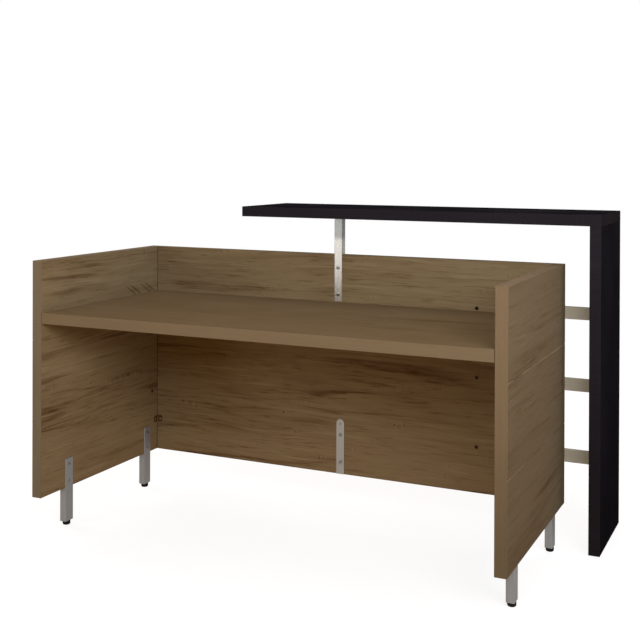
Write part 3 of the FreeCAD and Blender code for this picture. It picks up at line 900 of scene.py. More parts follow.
@dataclass(frozen=True)
class EdgeBand(Finish):
    """Plain edge band, with a faint fibre along its run and a fine pebble."""

    colour: Colour
    fibre: Colour
    grain: GrainRun
    painted_floor_shade: float = 0.0
    joints: tuple[tuple[str, float], ...] = ()
    # A painted highlight for faces that look up.
    top: Union[Colour, None] = None
    joint: Colour = paint(40, 26, 15)
    joint_reach: float = 0.0015
    relief: float = 0.00003

    def wire(self, board: NodeBoard) -> dict[str, Feed]:
        """Lay faint fibres and cloudy wear over the band's colour, with a painted highlight where the band
        looks up.

        Args:
            board: The material's board.

        Returns:
            What feeds the shader's inputs, by name.
        """
        place = self.grain.place(board)
        fibres = board.noise(place, (3.0, 160.0, 160.0), detail=3.0)
        clouds = board.noise(place, (2.5, 6.0, 6.0), detail=3.0)
        marks = HandlingMarks.use(board, Place=place)["Mask"]
        pebble = FinePebble.use(board, Place=place, Grains=1100.0)["Height"]
        figure = board.band(board.total((fibres, 0.6), (clouds, 0.4)), 0.35, 0.7)
        share = board.math("MULTIPLY", figure, 0.7)
        colour = board.mix(share, self.colour, self.fibre)
        # Painted highlight: faces that look up take the paler top colour.
        if self.top:
            level = board.band(board.upward(), 0.7, 0.9)
            colour = board.mix(level, colour, board.mix(share, self.top, self.fibre))
        # Painted shade: the band darkens towards the floor.
        if self.painted_floor_shade:
            colour = PaintedFloorShade.with_painted_shade(board, colour, self.painted_floor_shade)
        if self.joints:
            colour = board.mix(joint_mask(board, self.joints, self.joint_reach), colour, self.joint)
        return {"Base Color": colour, "Roughness": board.total((marks, 0.12), (1.0, 0.5)),
                "Specular IOR Level": 0.0, "Normal": board.bump(pebble, self.relief)}


@dataclass(frozen=True)
class BlackLaminate(Finish):
    """Satin black melamine with a fine pebble, faint wipe marks and a little dust."""

    colour: Colour = paint(21, 21, 26)
    wiped: Colour = paint(26, 26, 32)
    dust: Colour = paint(120, 116, 112)
    painted_floor_shade: float = 0.28
    relief: float = 0.00004

    def wire(self, board: NodeBoard) -> dict[str, Feed]:
        """Vary the black and its gloss a little, and paint shade towards the floor.

        Args:
            board: The material's board.

        Returns:
            What feeds the shader's inputs, by name.
        """
        place = board.place()
        marks = HandlingMarks.use(board, Place=place)["Mask"]
        dust = SettledDust.use(board, Place=place)["Mask"]
        pebble = FinePebble.use(board, Place=place, Grains=1000.0)["Height"]
        colour = board.mix(marks, self.colour, self.wiped)
        colour = board.mix(board.math("MULTIPLY", dust, DUST_SHARE), colour, self.dust)
        # Painted shade: the black darkens towards the floor.
        colour = PaintedFloorShade.with_painted_shade(board, colour, self.painted_floor_shade)
        return {"Base Color": colour, "Roughness": board.total((marks, 0.12), (dust, 0.1), (1.0, 0.42)),
                "Specular IOR Level": 0.0, "Normal": board.bump(pebble, self.relief)}


@dataclass(frozen=True)
class BrushedSteel(Finish):
    """Steel with brushed hairlines along a run and duller handled patches."""

    colour: Colour
    line: Colour
    grain: GrainRun
    roughness: float
    # Painted reflection: above this height the colour turns darker, as if mirroring a dark part above.
    painted_reflection_from: float = 0.0
    painted_reflection: Colour = paint(176, 176, 172)
    painted_reflection_fade: float = 0.012
    metal: float = 1.0
    relief: float = 0.00002

    def wire(self, board: NodeBoard) -> dict[str, Feed]:
        """Let hairlines move the colour, the gloss and the relief, and paint a darker reflection above a
        given height.

        Args:
            board: The material's board.

        Returns:
            What feeds the shader's inputs, by name.
        """
        place = self.grain.place(board)
        lines = BrushedLines.use(board, Place=place)["Line"]
        marks = HandlingMarks.use(board, Place=place)["Mask"]
        share = board.band(lines, 0.35, 0.65)
        colour = board.mix(share, self.line, self.colour)
        # Painted reflection: darker steel above the given height.
        if self.painted_reflection_from:
            level = board.split(board.place())["Z"]
            low, high = self.painted_reflection_from - self.painted_reflection_fade, self.painted_reflection_from + self.painted_reflection_fade
            colour = board.mix(board.band(level, low, high), colour, self.painted_reflection)
        roughness = board.total((lines, 0.14), (marks, 0.10), (1.0, self.roughness - 0.12))
        return {"Base Color": colour, "Metallic": self.metal, "Roughness": roughness,
                "Specular IOR Level": 0.0, "Normal": board.bump(lines, self.relief)}


@dataclass(frozen=True)
class PlatedMetal(Finish):
    """Plated small hardware: bright or dark, a little mottled."""

    colour: Colour
    mottle: Colour
    roughness: float
    relief: float = 0.00001

    def wire(self, board: NodeBoard) -> dict[str, Feed]:
        """Mottle the plating's colour and gloss.

        Args:
            board: The material's board.

        Returns:
            What feeds the shader's inputs, by name.
        """
        mottle = board.band(board.noise(board.place(), (220.0, 220.0, 220.0), detail=3.0), 0.35, 0.70)
        return {"Base Color": board.mix(mottle, self.colour, self.mottle), "Metallic": 1.0,
                "Roughness": board.total((mottle, 0.15), (1.0, self.roughness)),
                "Normal": board.bump(mottle, self.relief)}


@dataclass(frozen=True)
class MouldedPlastic(Finish):
    """Black moulded plastic with a spark-eroded grain and scuffed patches."""

    colour: Colour = paint(30, 30, 29)
    scuffed: Colour = paint(46, 45, 43)
    relief: float = 0.00006

    def wire(self, board: NodeBoard) -> dict[str, Feed]:
        """Scuff the plastic in patches.

        Args:
            board: The material's board.

        Returns:
            What feeds the shader's inputs, by name.
        """
        place = board.place()
        scuffs = board.band(board.noise(place, (90.0, 90.0, 160.0), detail=4.0), 0.52, 0.74)
        pebble = FinePebble.use(board, Place=place, Grains=1500.0)["Height"]
        return {"Base Color": board.mix(scuffs, self.colour, self.scuffed),
                "Roughness": board.total((scuffs, 0.2), (1.0, 0.45)),
                "Specular IOR Level": 0.0, "Normal": board.bump(pebble, self.relief)}


@dataclass(frozen=True)
class BeechPin(Finish):
    """Plain beech of the dowels, with short pores along the grain."""

    grain: GrainRun
    colour: Colour = paint(205, 172, 132)
    pore: Colour = paint(150, 112, 76)
    relief: float = 0.00005

    def wire(self, board: NodeBoard) -> dict[str, Feed]:
        """Draw short dark pores along the pin.

        Args:
            board: The material's board.

        Returns:
            What feeds the shader's inputs, by name.
        """
        place = self.grain.place(board)
        pores = board.band(board.noise(place, (120.0, 900.0, 900.0)), 0.55, 0.70)
        return {"Base Color": board.mix(pores, self.colour, self.pore),
                "Roughness": board.total((pores, 0.1), (1.0, 0.6)),
                "Normal": board.bump(pores, self.relief)}


# Painted highlight for edge-band faces that look up.
PAINTED_TOP_HIGHLIGHT = paint(132, 115, 94)
OAK_EDGE_FLAT = EdgeBand("oak_edge_flat", paint(106, 93, 73), paint(111, 98, 78), GrainRun.ALONG_X_FLAT,
                         top=PAINTED_TOP_HIGHLIGHT)
# The side bands and the black bands carry painted shade towards the floor.
OAK_EDGE_LEFT = EdgeBand("oak_edge_left", paint(104, 96, 79), paint(109, 101, 84), GrainRun.ALONG_Z,
                         painted_floor_shade=0.15, top=PAINTED_TOP_HIGHLIGHT)
OAK_EDGE_RIGHT = EdgeBand("oak_edge_right", paint(105, 92, 72), paint(110, 97, 77), GrainRun.ALONG_Z,
                          painted_floor_shade=0.36, top=PAINTED_TOP_HIGHLIGHT)
BLACK_EDGE = EdgeBand("black_edge", paint(32, 30, 34), paint(36, 34, 39), GrainRun.ALONG_X_FLAT,
                      painted_floor_shade=0.36)
BLACK_BOARD = BlackLaminate("black_laminate")
LEG_STEEL = BrushedSteel("leg_steel", paint(137, 138, 138), paint(126, 127, 127), GrainRun.ALONG_Z, 0.55,
                         metal=0.5)
STRIP_STEEL = BrushedSteel("strip_steel", paint(160, 152, 140), paint(146, 139, 128), GrainRun.ALONG_Z, 0.46)
BAR_STEEL = BrushedSteel("bar_steel", paint(184, 180, 165), paint(170, 166, 151), GrainRun.ALONG_X_FLAT, 0.42,
                         metal=0.3)
# Painted reflection: above 0.965 m the post's steel is darker, as if mirroring the black slab.
POST_STEEL = BrushedSteel("post_steel", paint(238, 234, 227), paint(222, 218, 210), GrainRun.ALONG_Z, 0.28,
                          painted_reflection_from=0.965, metal=0.88)
ZINC = PlatedMetal("zinc", paint(206, 206, 204), paint(170, 170, 166), 0.22)
DARK_ZINC = PlatedMetal("dark_zinc", paint(92, 68, 44), paint(66, 46, 28), 0.40)
BRONZED = PlatedMetal("bronzed_steel", paint(128, 97, 62), paint(104, 77, 47), 0.45)
BRONZED_SCREW = PlatedMetal("bronzed_screw", paint(196, 166, 122), paint(160, 132, 94), 0.40)
# Painted shade for the recesses in screw, bolt and cam heads.
PAINTED_RECESS_SHADE = PlatedMetal("recess", paint(30, 25, 20), paint(20, 16, 13), 0.60)
BLACKENED = PlatedMetal("blackened_steel", paint(58, 40, 23), paint(42, 28, 16), 0.42)
SCREW_STEEL = PlatedMetal("screw_steel", paint(150, 144, 135), paint(122, 117, 110), 0.30)
BLACK_PLASTIC = MouldedPlastic("black_plastic")
BEECH_X = BeechPin("beech_along_x", GrainRun.ALONG_X_FLAT)
BEECH_Y = BeechPin("beech_along_y", GrainRun.ALONG_Y_UPRIGHT)


@dataclass
class Boards:
    """The four wood-effect boards of the desk and their edge bands."""

    plank_count: int = 3
    fleck: tuple[float, ...] = (0.070, 0.752, 0.160, 0.036)

    def groove_heights(self) -> tuple[float, ...]:
        """Heights of the grooves that divide the panels into planks."""
        low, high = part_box("right_side_panel")[0].z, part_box("right_side_edge_bands")[1].z
        return tuple(low + (high - low) * step / self.plank_count for step in range(1, self.plank_count))

    def dress(self) -> None:
        """Give each board its own stretch of figure, and the bands their plain finish."""
        grooves = self.groove_heights()
        side, upright, flat = GrainRun.ALONG_Y_UPRIGHT, GrainRun.ALONG_X_UPRIGHT, GrainRun.ALONG_X_FLAT
        left = self.faces_of("left_side_panel", side)
        right = self.faces_of("right_side_panel", side)
        front = self.faces_of("front_panel", upright)
        top = self.faces_of("worktop", flat)
        corners = (("X", left[1]), ("X", right[0]))
        ends = (("Y", front[0]),)
        OakLaminate("oak_left_side", side, (0.5, 3.3, 0.4), left, grooves, strength=1.2, joints=ends,
                    fleck=self.fleck).dress_nodes("left_side_panel")
        # Painted shade: the right board is a darker, greyer copy of the oak, and it darkens towards the
        # floor.
        OakLaminate("oak_right_side_shaded", side, (0.0, 7.7, 1.9), right, grooves, strength=0.64, joints=ends,
                    painted_floor_shade=0.22, middle=paint(100, 89, 71),
                    light=paint(113, 104, 87)).dress_nodes("right_side_panel")
        OakLaminate("oak_front", upright, (9.3, 3.4, 0.2), front, grooves, strength=1.3,
                    joints=corners).dress_nodes("front_panel")
        OakLaminate("oak_worktop", flat, (11.2, 1.4, 0.0), top, strength=0.36).dress_nodes("worktop")
        EdgeBand("oak_edge_worktop", paint(103, 91, 71), paint(108, 96, 76), flat,
                 joints=corners).dress_nodes("worktop_edge_band")
        OAK_EDGE_FLAT.dress_nodes("front_edge_bands")
        OAK_EDGE_LEFT.dress_nodes("left_side_edge_bands")
        OAK_EDGE_RIGHT.dress_nodes("right_side_edge_bands")

    def faces_of(self, node: str, grain: GrainRun) -> tuple[float, float]:
        """Where a board's two faces lie, across its thickness."""
        axis = "XYZ".index(grain.value[2])
        return tuple(corner[axis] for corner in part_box(node))


@dataclass
class Counter:
    """The black counter: slab, upright and their edge bands."""

    def dress(self) -> None:
        """Dress the black boards."""
        BLACK_BOARD.dress_nodes("counter_top", "counter_upright")
        BLACK_EDGE.dress_nodes("counter_top_edge_bands", "counter_upright_edge_bands")


@dataclass
class Metalwork:
    """Legs, post, strip and bars, with the small hardware that holds them."""

    def dress(self) -> None:
        """Dress the steel and its fastenings."""
        LEG_STEEL.dress_nodes(*(f"{foot}_leg" for foot in FEET))
        STRIP_STEEL.dress_nodes("front_strip")
        POST_STEEL.dress_nodes("counter_post")
        BAR_STEEL.dress_nodes("lower_connector_bar", "middle_connector_bar", "upper_connector_bar")
        ZINC.dress_nodes("side_cam_bolts", "worktop_cam_bolts", "counter_cam_bolts", "post_stud", "bar_studs",
                         "bar_inserts")
        BLACK_PLASTIC.dress_nodes("leg_end_plugs", "post_end_plug", "bar_end_plugs", "bar_end_caps")
        BEECH_X.dress_nodes("counter_dowels", "worktop_dowels")
        BEECH_Y.dress_nodes("side_dowels")


@dataclass
class LevellingFeet:
    """The four feet: a fluted plastic base on a threaded stud, screwed into each leg."""

    base_radius: float = 0.013
    lower_round: float = 0.005
    rim_round: float = 0.001
    sides: int = 48
    flute_margin: float = 0.0003
    flute_depth: float = 0.0006
    bore_radius: float = 0.00415
    sole: float = 0.004
    stud_radius: float = 0.004
    thread_depth: float = 0.0007
    pitch: float = 0.00125
    thread_share: float = 0.42
    thread_steps: int = 24
    thread_lead: float = 1.2
    thread_crease: float = 50.0
    stud_chamfer: float = 0.0006
    pad_rim: float = 0.0008
    pad_step: float = 0.0004

    def build(self) -> None:
        """Model one base and one stud, and put a copy of each under every leg."""
        base, stud = self.base(), self.stud()
        for foot in FEET:
            low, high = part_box(f"{foot}_foot_stud")
            axis = Vector(((low.x + high.x) / 2, (low.y + high.y) / 2, 0.0))
            place_copy(base, f"{foot}_foot_grip", Matrix.Translation(axis), f"{foot}_foot_base",
                       f"{foot}_foot", BLACK_PLASTIC)
            place_copy(stud, f"{foot}_foot_thread", Matrix.Translation(axis), f"{foot}_foot_stud",
                       f"{foot}_stud", ZINC)
        for master in (base, stud):
            bpy.data.objects.remove(master)

    def base(self) -> Piece:
        """Model a base: rounded below, fluted round its side, with a blind bore for the stud.

        Returns:
            The base, on Z over the origin.
        """
        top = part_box("near_left_foot_base")[1].z
        bench = Bench.rod("foot_base", self.base_radius, 0.0, top, self.sides)
        bench.ring(0.0).bevel(self.lower_round, 6)
        bench.ring(top).bevel(self.rim_round, 3)
        bench.pick(Pick.FACES, self.is_flute).inset(self.flute_margin, -self.flute_depth, each=True)
        bench.cap(top).inset(self.base_radius - self.rim_round - self.bore_radius)
        bench.cap(top, NEAR).push(0, 0, self.sole - top)
        bench.cap(0.0).inset(self.pad_rim).inset(self.pad_step, -self.pad_step)
        return bench.done()

    def is_flute(self, at: Vector, out: Vector) -> bool:
        """Every second flat of the base's side."""
        step = round(math.atan2(out.y, out.x) / (2 * math.pi / self.sides) - 0.5)
        return abs(out.z) < 0.01 and at.xy.length > 0.9 * self.base_radius and step % 2 == 0

    def stud(self) -> Piece:
        """Model a stud: a core with a thread wound round it.

        Returns:
            The stud, on Z at its own height.
        """
        low, high = (corner.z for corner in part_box("near_left_foot_stud"))
        core = Bench.rod("stud_core", self.stud_radius - self.thread_depth, low, high, self.thread_steps)
        core.ring(low).bevel(self.stud_chamfer, 2).ring(high).bevel(self.stud_chamfer, 2)
        core = core.done()
        half = self.pitch * self.thread_share
        lead = self.thread_lead * half
        deselect()
        bpy.ops.mesh.primitive_circle_add(vertices=4, radius=half, rotation=(math.pi / 2, 0, 0),
                                          location=(self.stud_radius - half, 0, low + lead))
        thread = Bench("stud_thread")
        wind = thread.piece.modifiers.new("wind", "SCREW")
        wind.iterations = int((high - low - 2 * lead) / self.pitch)
        wind.screw_offset = self.pitch
        wind.steps = wind.render_steps = self.thread_steps
        bpy.ops.object.modifier_apply(modifier=wind.name)
        thread.pick(Pick.FACES, lambda at, out: True)
        bpy.ops.mesh.fill_holes(sides=0)
        stud = thread.done(self.thread_crease)
        core.select_set(True)
        stud.select_set(True)
        bpy.context.view_layer.objects.active = stud
        bpy.ops.object.join()
        return stud


@dataclass(frozen=True)
class ScrewKind:
    """A pan-head screw's radii, length and finish, and the CAD node that has it."""

    node: str
    head: float
    shank: float
    length: float
    finish: Finish


@dataclass
class Fastenings:
    """Screws, bolts, cam locks and brackets that hold the boards and the steel."""

    screw_kinds: tuple[ScrewKind, ...] = (
        ScrewKind("leg_screws", 0.005, 0.0025, 0.026, SCREW_STEEL),
        ScrewKind("post_screws", 0.007, 0.0025, 0.020, ZINC),
        ScrewKind("strip_screws", 0.007, 0.0025, 0.020, SCREW_STEEL),
        ScrewKind("bracket_screws", 0.0038, 0.002, 0.014, BRONZED_SCREW),
    )
    head_sides: int = 40
    hole_sides: int = 28
    bore_sides: int = 24
    head_height: float = 0.0026
    head_round: float = 0.0015
    dome: float = 0.00025
    dome_steps: tuple[tuple[float, float], ...] = ((0.45, 0.7), (0.3, 0.3))
    point_share: float = 0.2
    point_size: float = 0.15
    screw_turn: float = 0.4
    bolt_turn: float = 0.7
    cross_width: float = 0.0017
    cross_depth: float = 0.0014
    cross_share: float = 1.3
    recess_shade_share: float = 0.68
    bolt_head_radius: float = 0.006
    bolt_head_height: float = 0.003
    bolt_head_round: float = 0.0012
    bolt_radius: float = 0.003
    socket_radius: float = 0.0023
    socket_depth: float = 0.0018
    socket_reach: float = 1.05
    cam_edge: float = 0.0005
    cam_rim: float = 0.0009
    cam_step: float = 0.0003
    cam_cross: tuple[float, float, float] = (0.002, 0.008, 0.0025)
    cam_recess_shade: tuple[float, float, float] = (-1.2, -0.16, 0.55)
    cam_mark: float = 0.0009
    cam_mark_depth: float = 0.0006
    cam_mark_inset: float = 0.0026
    cam_bolt_radius: float = 0.0036
    cam_axis_depth: float = 0.0074
    bracket_leg: float = 0.022
    bracket_thickness: float = 0.002
    bracket_inner_bend: float = 0.0012
    bracket_outer_bend: float = 0.0028
    bracket_corner: float = 0.004
    bracket_hole: float = 0.0021
    bracket_hole_inset: float = 0.014

    def build(self) -> None:
        """Model each fastening once and put copies in all its places."""
        for kind in self.screw_kinds:
            self.screws(kind)
        self.bolts()
        self.cams("side", None, DARK_ZINC)
        self.cams("worktop", -Z_AXIS, ZINC)
        self.cams("counter", -X_AXIS, ZINC)
        self.brackets()

    def facing_of(self, box: Box) -> Vector:
        """Which way a fastening's head looks: along its length, into the staff's space."""
        size = box[1] - box[0]
        return self.inwards(box) if size.x > size.y else -Y_AXIS

    def inwards(self, box: Box) -> Vector:
        """Across the desk, towards its middle."""
        return -X_AXIS if middle_of(box).x > 0 else X_AXIS

    def sink(self, bench: Bench, top: float, reach: float) -> None:
        """Paint shade into the recess in a head, below its top and within a reach of its axis."""
        bench.line(PAINTED_RECESS_SHADE, lambda at, out: 10 * NEAR < at.z < top - NEAR and at.xy.length < reach)

    def screws(self, kind: ScrewKind) -> None:
        """Model a pan-head screw with a cross recess, and copy it to its node's places.

        Args:
            kind: The screws' sizes, finish and node.
        """
        rim, flat = self.head_height - self.dome, kind.head - self.head_round
        bench = Bench.rod("pan_screw", kind.head, 0.0, rim, self.head_sides)
        bench.ring(rim).bevel(self.head_round, 5)
        bench.cap(rim)
        for width, rise in self.dome_steps:
            bench.inset(flat * width, self.dome * rise)
        bench.cap(0.0).inset(kind.head - kind.shank)
        for share in (1 - self.point_share, self.point_share):
            bench.push(0, 0, -share * kind.length)
        bench.resize(self.point_size, (0, 0, -kind.length))
        bench.cut_cross(self.head_height, self.cross_width, kind.head * self.cross_share, self.cross_depth)
        # Painted shade in the cross recess.
        self.sink(bench, rim, self.recess_shade_share * kind.head)
        master = bench.done()
        for index, box in enumerate(solid_boxes(kind.node), 1):
            facing = self.facing_of(box)
            under_head = end_of(box, facing) - facing * self.head_height
            aside = Matrix.Rotation(self.screw_turn * index, 3, facing) @ Z_AXIS
            place_copy(master, f"{kind.node}_{index}", seat(under_head, facing, aside), kind.node, DESK,
                       kind.finish)
        bpy.data.objects.remove(master)

    def bolts(self) -> None:
        """Model a bar bolt with a hexagon socket, and copy it to its places."""
        boxes, top = solid_boxes("bar_bolts"), self.bolt_head_height
        length = boxes[0][1].y - boxes[0][0].y - top
        bench = Bench.rod("bar_bolt", self.bolt_head_radius, 0.0, top, self.head_sides)
        bench.ring(top).bevel(self.bolt_head_round, 4)
        bench.cap(0.0).inset(self.bolt_head_radius - self.bolt_radius).push(0, 0, -length)
        bench.cut(Bench.rod("hex_key", self.socket_radius, top - self.socket_depth, 2 * top, 6))
        # Painted shade in the hex socket.
        self.sink(bench, top, self.socket_reach * self.socket_radius)
        master = bench.done()
        for index, box in enumerate(boxes, 1):
            under_head = end_of(box, -Y_AXIS) + Y_AXIS * top
            aside = Matrix.Rotation(self.bolt_turn * index, 3, Y_AXIS) @ Z_AXIS
            place_copy(master, f"bar_bolt_{index}", seat(under_head, -Y_AXIS, aside), "bar_bolts", DESK,
                       BLACKENED)
        bpy.data.objects.remove(master)

    def cams(self, kind: str, facing: Union[Vector, None], finish: Finish) -> None:
        """Model a cam lock with a cross recess and a mark, and copy it to one board's places.

        Args:
            kind: The first word of the nodes' names.
            facing: Where the cams look, or None where they look at each other.
            finish: The cams' finish.
        """
        boxes, bolts = solid_boxes(f"{kind}_cam_locks"), solid_boxes(f"{kind}_cam_bolts")
        depth, width, _ = sorted(boxes[0][1] - boxes[0][0])
        radius = width / 2
        bench = Bench.rod("cam_lock", radius, -depth, 0.0, self.head_sides)
        bench.ring(0.0).bevel(self.cam_edge, 2)
        bench.cap(0.0).inset(self.cam_rim).inset(self.cam_step, -self.cam_step)
        bench.cut_cross(0.0, *self.cam_cross)
        mark = Bench.rod("cam_mark", self.cam_mark, -self.cam_mark_depth, self.cam_mark_depth, 3)
        bench.cut(mark.shift(radius - self.cam_mark_inset, 0, 0))
        bore = Bench.rod("cam_bore", self.cam_bolt_radius, 0.0, 2 * radius, self.bore_sides, lying=True)
        bench.cut(bore.shift(0, 0, -self.cam_axis_depth))
        _, cross_length, cross_depth = self.cam_cross
        # Painted shade in the cam's cross recess.
        low, high, reach = self.cam_recess_shade
        bench.line(PAINTED_RECESS_SHADE, lambda at, out: low * cross_depth < at.z < high * cross_depth
                   and at.xy.length < reach * cross_length)
        master = bench.done()
        for index, box in enumerate(boxes, 1):
            out = facing or self.inwards(box)
            bolt = min(bolts, key=lambda other: (middle_of(other) - middle_of(box)).length)
            aside = middle_of(bolt) - middle_of(box)
            aside = max((axis * sign for axis in (X_AXIS, Y_AXIS, Z_AXIS) for sign in (1, -1)
                         if abs(axis.dot(out)) < 0.5), key=aside.dot)
            place_copy(master, f"{kind}_cam_lock_{index}", seat(end_of(box, out), out, aside),
                       f"{kind}_cam_locks", DESK, finish)
        bpy.data.objects.remove(master)

    def brackets(self) -> None:
        """Model a bent corner bracket with a hole in each leg, and copy it to both corners."""
        boxes = solid_boxes("corner_brackets")
        half = (boxes[0][1].z - boxes[0][0].z) / 2
        leg, thick = self.bracket_leg, self.bracket_thickness
        bench = Bench.block("corner_bracket", (0, -thick, -half), (thick, 0, half))
        bench.pick(Pick.FACES, lambda at, out: out.x > 0.9).push(leg - thick, 0, 0)
        bench.pick(Pick.FACES, lambda at, out: out.y < -0.9 and at.x < thick).push(0, thick - leg, 0)
        for bend, width, segments in ((Vector((thick, -thick)), self.bracket_inner_bend, 4),
                                      (Vector((0, 0)), self.bracket_outer_bend, 6)):
            bench.pick(Pick.EDGES, lambda at, run: abs(run.z) > 0.9 and (at.xy - bend).length < NEAR)
            bench.bevel(width, segments)
        bench.pick(Pick.EDGES, lambda at, run: abs(run.z) < 0.1 and max(at.x, -at.y) > leg - NEAR
                   and abs(abs(at.z) - half) < NEAR).bevel(self.bracket_corner, 5)
        for lying in (True, False):
            drill = Bench.rod("bracket_hole", self.bracket_hole, -leg, leg, self.hole_sides, lying)
            if lying:
                drill.shift(0, -self.bracket_hole_inset, 0)
            else:
                drill.tip(math.pi / 2).shift(self.bracket_hole_inset, 0, 0)
            bench.cut(drill)
        master = bench.done()
        for index, box in enumerate(boxes, 1):
            left = middle_of(box).x < 0
            corner = Vector((box[0].x if left else box[1].x, box[1].y, middle_of(box).z))
            place_copy(master, f"corner_bracket_{index}", seat(corner, Z_AXIS, X_AXIS if left else -Y_AXIS),
                       "corner_brackets", DESK, BRONZED)
        bpy.data.objects.remove(master)


@dataclass
class Glides:
    """The two glides under the counter's upright."""

    sides: int = 48
    disc_radius: float = 0.012
    disc_height: float = 0.004
    disc_round: float = 0.0014
    pin_radius: float = 0.002
    chamfer: float = 0.0005
    pad_rim: float = 0.0015
    pad_step: float = 0.0004

    def build(self) -> None:
        """Model a glide with a rounded disc and a pin, and copy it to both places."""
        boxes = solid_boxes("upright_glides")
        bench = Bench.rod("glide", self.disc_radius, 0.0, self.disc_height, self.sides)
        bench.ring(0.0).bevel(self.disc_round, 4)
        bench.ring(self.disc_height).bevel(self.chamfer, 2)
        bench.cap(self.disc_height).inset(self.disc_radius - self.chamfer - self.pin_radius)
        bench.push(0, 0, boxes[0][1].z - self.disc_height)
        bench.ring(boxes[0][1].z).bevel(self.chamfer, 2)
        bench.cap(0.0).inset(self.pad_rim).inset(self.pad_step, -self.pad_step)
        master = bench.done()
        for index, box in enumerate(boxes, 1):
            foot = end_of(box, -Z_AXIS)
            place_copy(master, f"upright_glide_{index}", Matrix.Translation(foot), "upright_glides", DESK,
                       BLACK_PLASTIC)
        bpy.data.objects.remove(master)


@dataclass
class SoftBox:
    """A large soft lamp."""

    name: str
    place: tuple[float, float, float]
    aim: tuple[float, float, float]
    width: float
    height: float
    power: float
    colour: tuple[float, float, float] = (1.0, 1.0, 1.0)

    def build(self) -> None:
        """Hang the lamp and point it."""
        data = bpy.data.lights.new(self.name, "AREA")
        data.shape = "RECTANGLE"
        data.size, data.size_y = self.width, self.height
        data.energy = self.power
        data.color = self.colour
        lamp = bpy.data.objects.new(self.name, data)
        lamp.location = self.place
        lamp.visible_camera = lamp.visible_glossy = False
        lamp.rotation_euler = (Vector(self.aim) - lamp.location).to_track_quat("-Z", "Y").to_euler()
        bpy.context.scene.collection.objects.link(lamp)


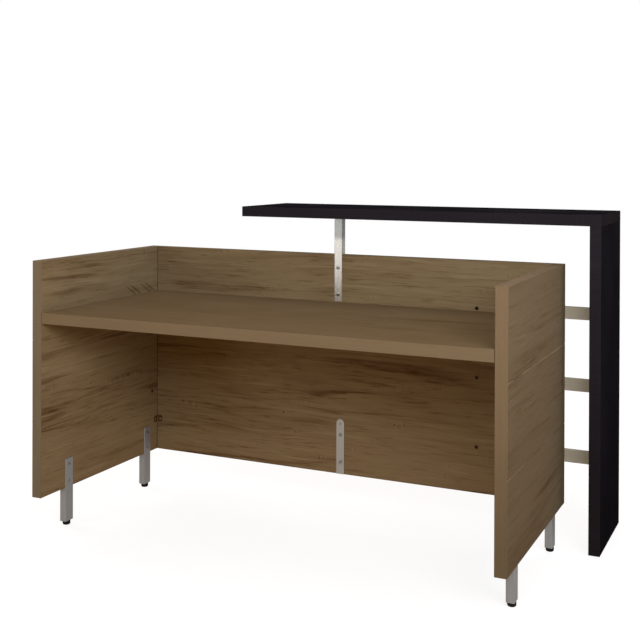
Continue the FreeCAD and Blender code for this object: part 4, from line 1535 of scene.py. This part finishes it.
@dataclass
class Studio:
    """A plain pale floor, a white surround and soft lamps."""

    floor_size: float = 9.0
    floor_tone: Colour = (0.66, 0.40, 0.15, 1.0)
    shadow_share: float = 0.15
    fade_from: float = 1.6
    fade_to: float = 4.0
    ambient: Colour = (0.22, 0.08, 0.0, 1.0)
    back_gloss: float = 0.30
    lit_tone: Colour = (1.45, 1.45, 1.45, 1.0)

    def seen(self, board: NodeBoard) -> Socket:
        """Find the rays that show the surround itself.

        Args:
            board: The material's or world's board.

        Returns:
            1 for what the camera, a gloss or glass sees, and 0 for light that falls on the desk.
        """
        rays = board.add("ShaderNodeLightPath").outputs
        mirrored = board.math("MAXIMUM", rays["Is Glossy Ray"], rays["Is Transmission Ray"])
        return board.math("MAXIMUM", rays["Is Camera Ray"], mirrored)

    def build(self) -> None:
        """Lay the floor, set the surround and hang the lamps."""
        deselect()
        bpy.ops.mesh.primitive_plane_add(size=self.floor_size)
        floor = bpy.context.object
        floor.name = "studio_floor"
        floor.data.materials.append(self.floor_material())
        self.surround()
        for lamp in (
            SoftBox("main_lamp", (2.7, -3.0, 2.3), (0.0, 0.1, 0.6), 2.0, 1.4, 92.0, (0.97, 1.0, 1.04)),
            SoftBox("front_lamp", (0.85, -3.9, 2.4), (0.0, 0.1, 0.6), 2.0, 1.4, 59.0, (0.98, 1.0, 1.02)),
            SoftBox("low_lamp", (3.65, -1.7, 0.95), (-0.3, -0.1, 0.6), 2.0, 0.9, 44.0),
            SoftBox("right_lamp", (3.9, -0.8, 2.1), (0.0, 0.1, 0.6), 2.0, 1.0, 12.0, (0.50, 1.0, 1.60)),
            SoftBox("left_lamp", (-2.9, -3.7, 1.1), (0.2, 0.1, 0.5), 1.6, 0.8, 50.0),
            SoftBox("top_lamp", (0.0, 0.0, 3.6), (0.0, 0.0, 0.0), 3.0, 2.4, 26.0, (0.94, 1.0, 1.05)),
            SoftBox("back_lamp", (0.4, 4.2, 2.2), (0.0, 0.3, 0.5), 3.0, 2.0, 90.0),
            SoftBox("far_lamp", (-4.0, 0.8, 1.7), (0.0, 0.2, 0.5), 2.4, 1.6, 70.0),
        ):
            lamp.build()

    def show(self, board: NodeBoard, sink: str, unseen: bpy.types.Node, seen: bpy.types.Node) -> None:
        """Let one shader light the desk and another one meet the eye, through an output node."""
        feeds = enumerate((self.seen(board), unseen.outputs[0], seen.outputs[0]))
        board.add(sink, [("Surface", board.add("ShaderNodeMixShader", feeds).outputs[0])])

    def floor_material(self) -> bpy.types.Material:
        """Make the floor: white to the eye, with a soft shadow near the desk.

        Returns:
            The floor's material.
        """
        material = bpy.data.materials.new("studio_floor")
        board = NodeBoard.fresh(material)
        length = board.add("ShaderNodeVectorMath", [(0, board.place())], operation="LENGTH").outputs["Value"]
        share = board.math("MULTIPLY", board.band(length, self.fade_to, self.fade_from), self.shadow_share)
        glow = board.add("ShaderNodeEmission", [("Strength", board.math("SUBTRACT", 1.0, share))])
        lit = board.add("ShaderNodeBsdfDiffuse", [("Color", board.mix(share, BLACK, self.lit_tone))])
        shown = board.add("ShaderNodeAddShader", enumerate((glow.outputs[0], lit.outputs[0])))
        bounce = board.add("ShaderNodeBsdfDiffuse", [("Color", self.floor_tone)])
        self.show(board, "ShaderNodeOutputMaterial", bounce, shown)
        return material

    def surround(self) -> None:
        """Set the world: white to the eye, and a plain soft light on the desk."""
        world = bpy.data.worlds.new("studio_surround")
        board = NodeBoard.fresh(world)
        behind = board.split(board.add("ShaderNodeTexCoord").outputs["Generated"])["Y"]
        dimming = board.math("MULTIPLY", board.band(behind, -0.3, 0.7), 1 - self.back_gloss)
        gloss = board.add("ShaderNodeLightPath").outputs["Is Glossy Ray"]
        strength = board.math("SUBTRACT", 1.0, board.math("MULTIPLY", gloss, dimming))
        light = board.add("ShaderNodeBackground", [("Color", self.ambient)])
        white = board.add("ShaderNodeBackground", [("Color", WHITE), ("Strength", strength)])
        self.show(board, "ShaderNodeOutputWorld", light, white)
        bpy.context.scene.world = world


@dataclass
class PhotoCamera:
    """The camera at the photograph's viewpoint, shifted so that uprights stay nearly upright."""

    place: tuple[float, float, float] = (1.4796, -3.2326, 1.2444)
    turn_left: float = 0.4348
    look_down: float = 0.0052
    roll: float = -0.0036
    focal_px: float = 1058.5
    axis_px: tuple[float, float] = (326.7, 165.6)
    image_px: int = 640
    sensor_mm: float = 36.0

    def build(self) -> None:
        """Set up the camera and make it the scene's own."""
        data = bpy.data.cameras.new("photo_camera")
        data.sensor_width = self.sensor_mm
        data.lens = self.focal_px / self.image_px * self.sensor_mm
        data.shift_x = 0.5 - self.axis_px[0] / self.image_px
        data.shift_y = self.axis_px[1] / self.image_px - 0.5
        camera = bpy.data.objects.new("photo_camera", data)
        camera.location = self.place
        camera.rotation_euler = (math.pi / 2 - self.look_down, self.roll, self.turn_left)
        bpy.context.scene.collection.objects.link(camera)
        bpy.context.scene.camera = camera


def main() -> None:
    """Build the desk's looks around the frame."""
    logging.basicConfig(level=logging.INFO, format="%(message)s")
    bpy.context.scene.view_settings.view_transform = "Standard"
    PhotoCamera().build()
    Studio().build()
    Boards().dress()
    Counter().dress()
    Metalwork().dress()
    LevellingFeet().build()
    Fastenings().build()
    Glides().build()


if __name__ == "__main__":
    main()
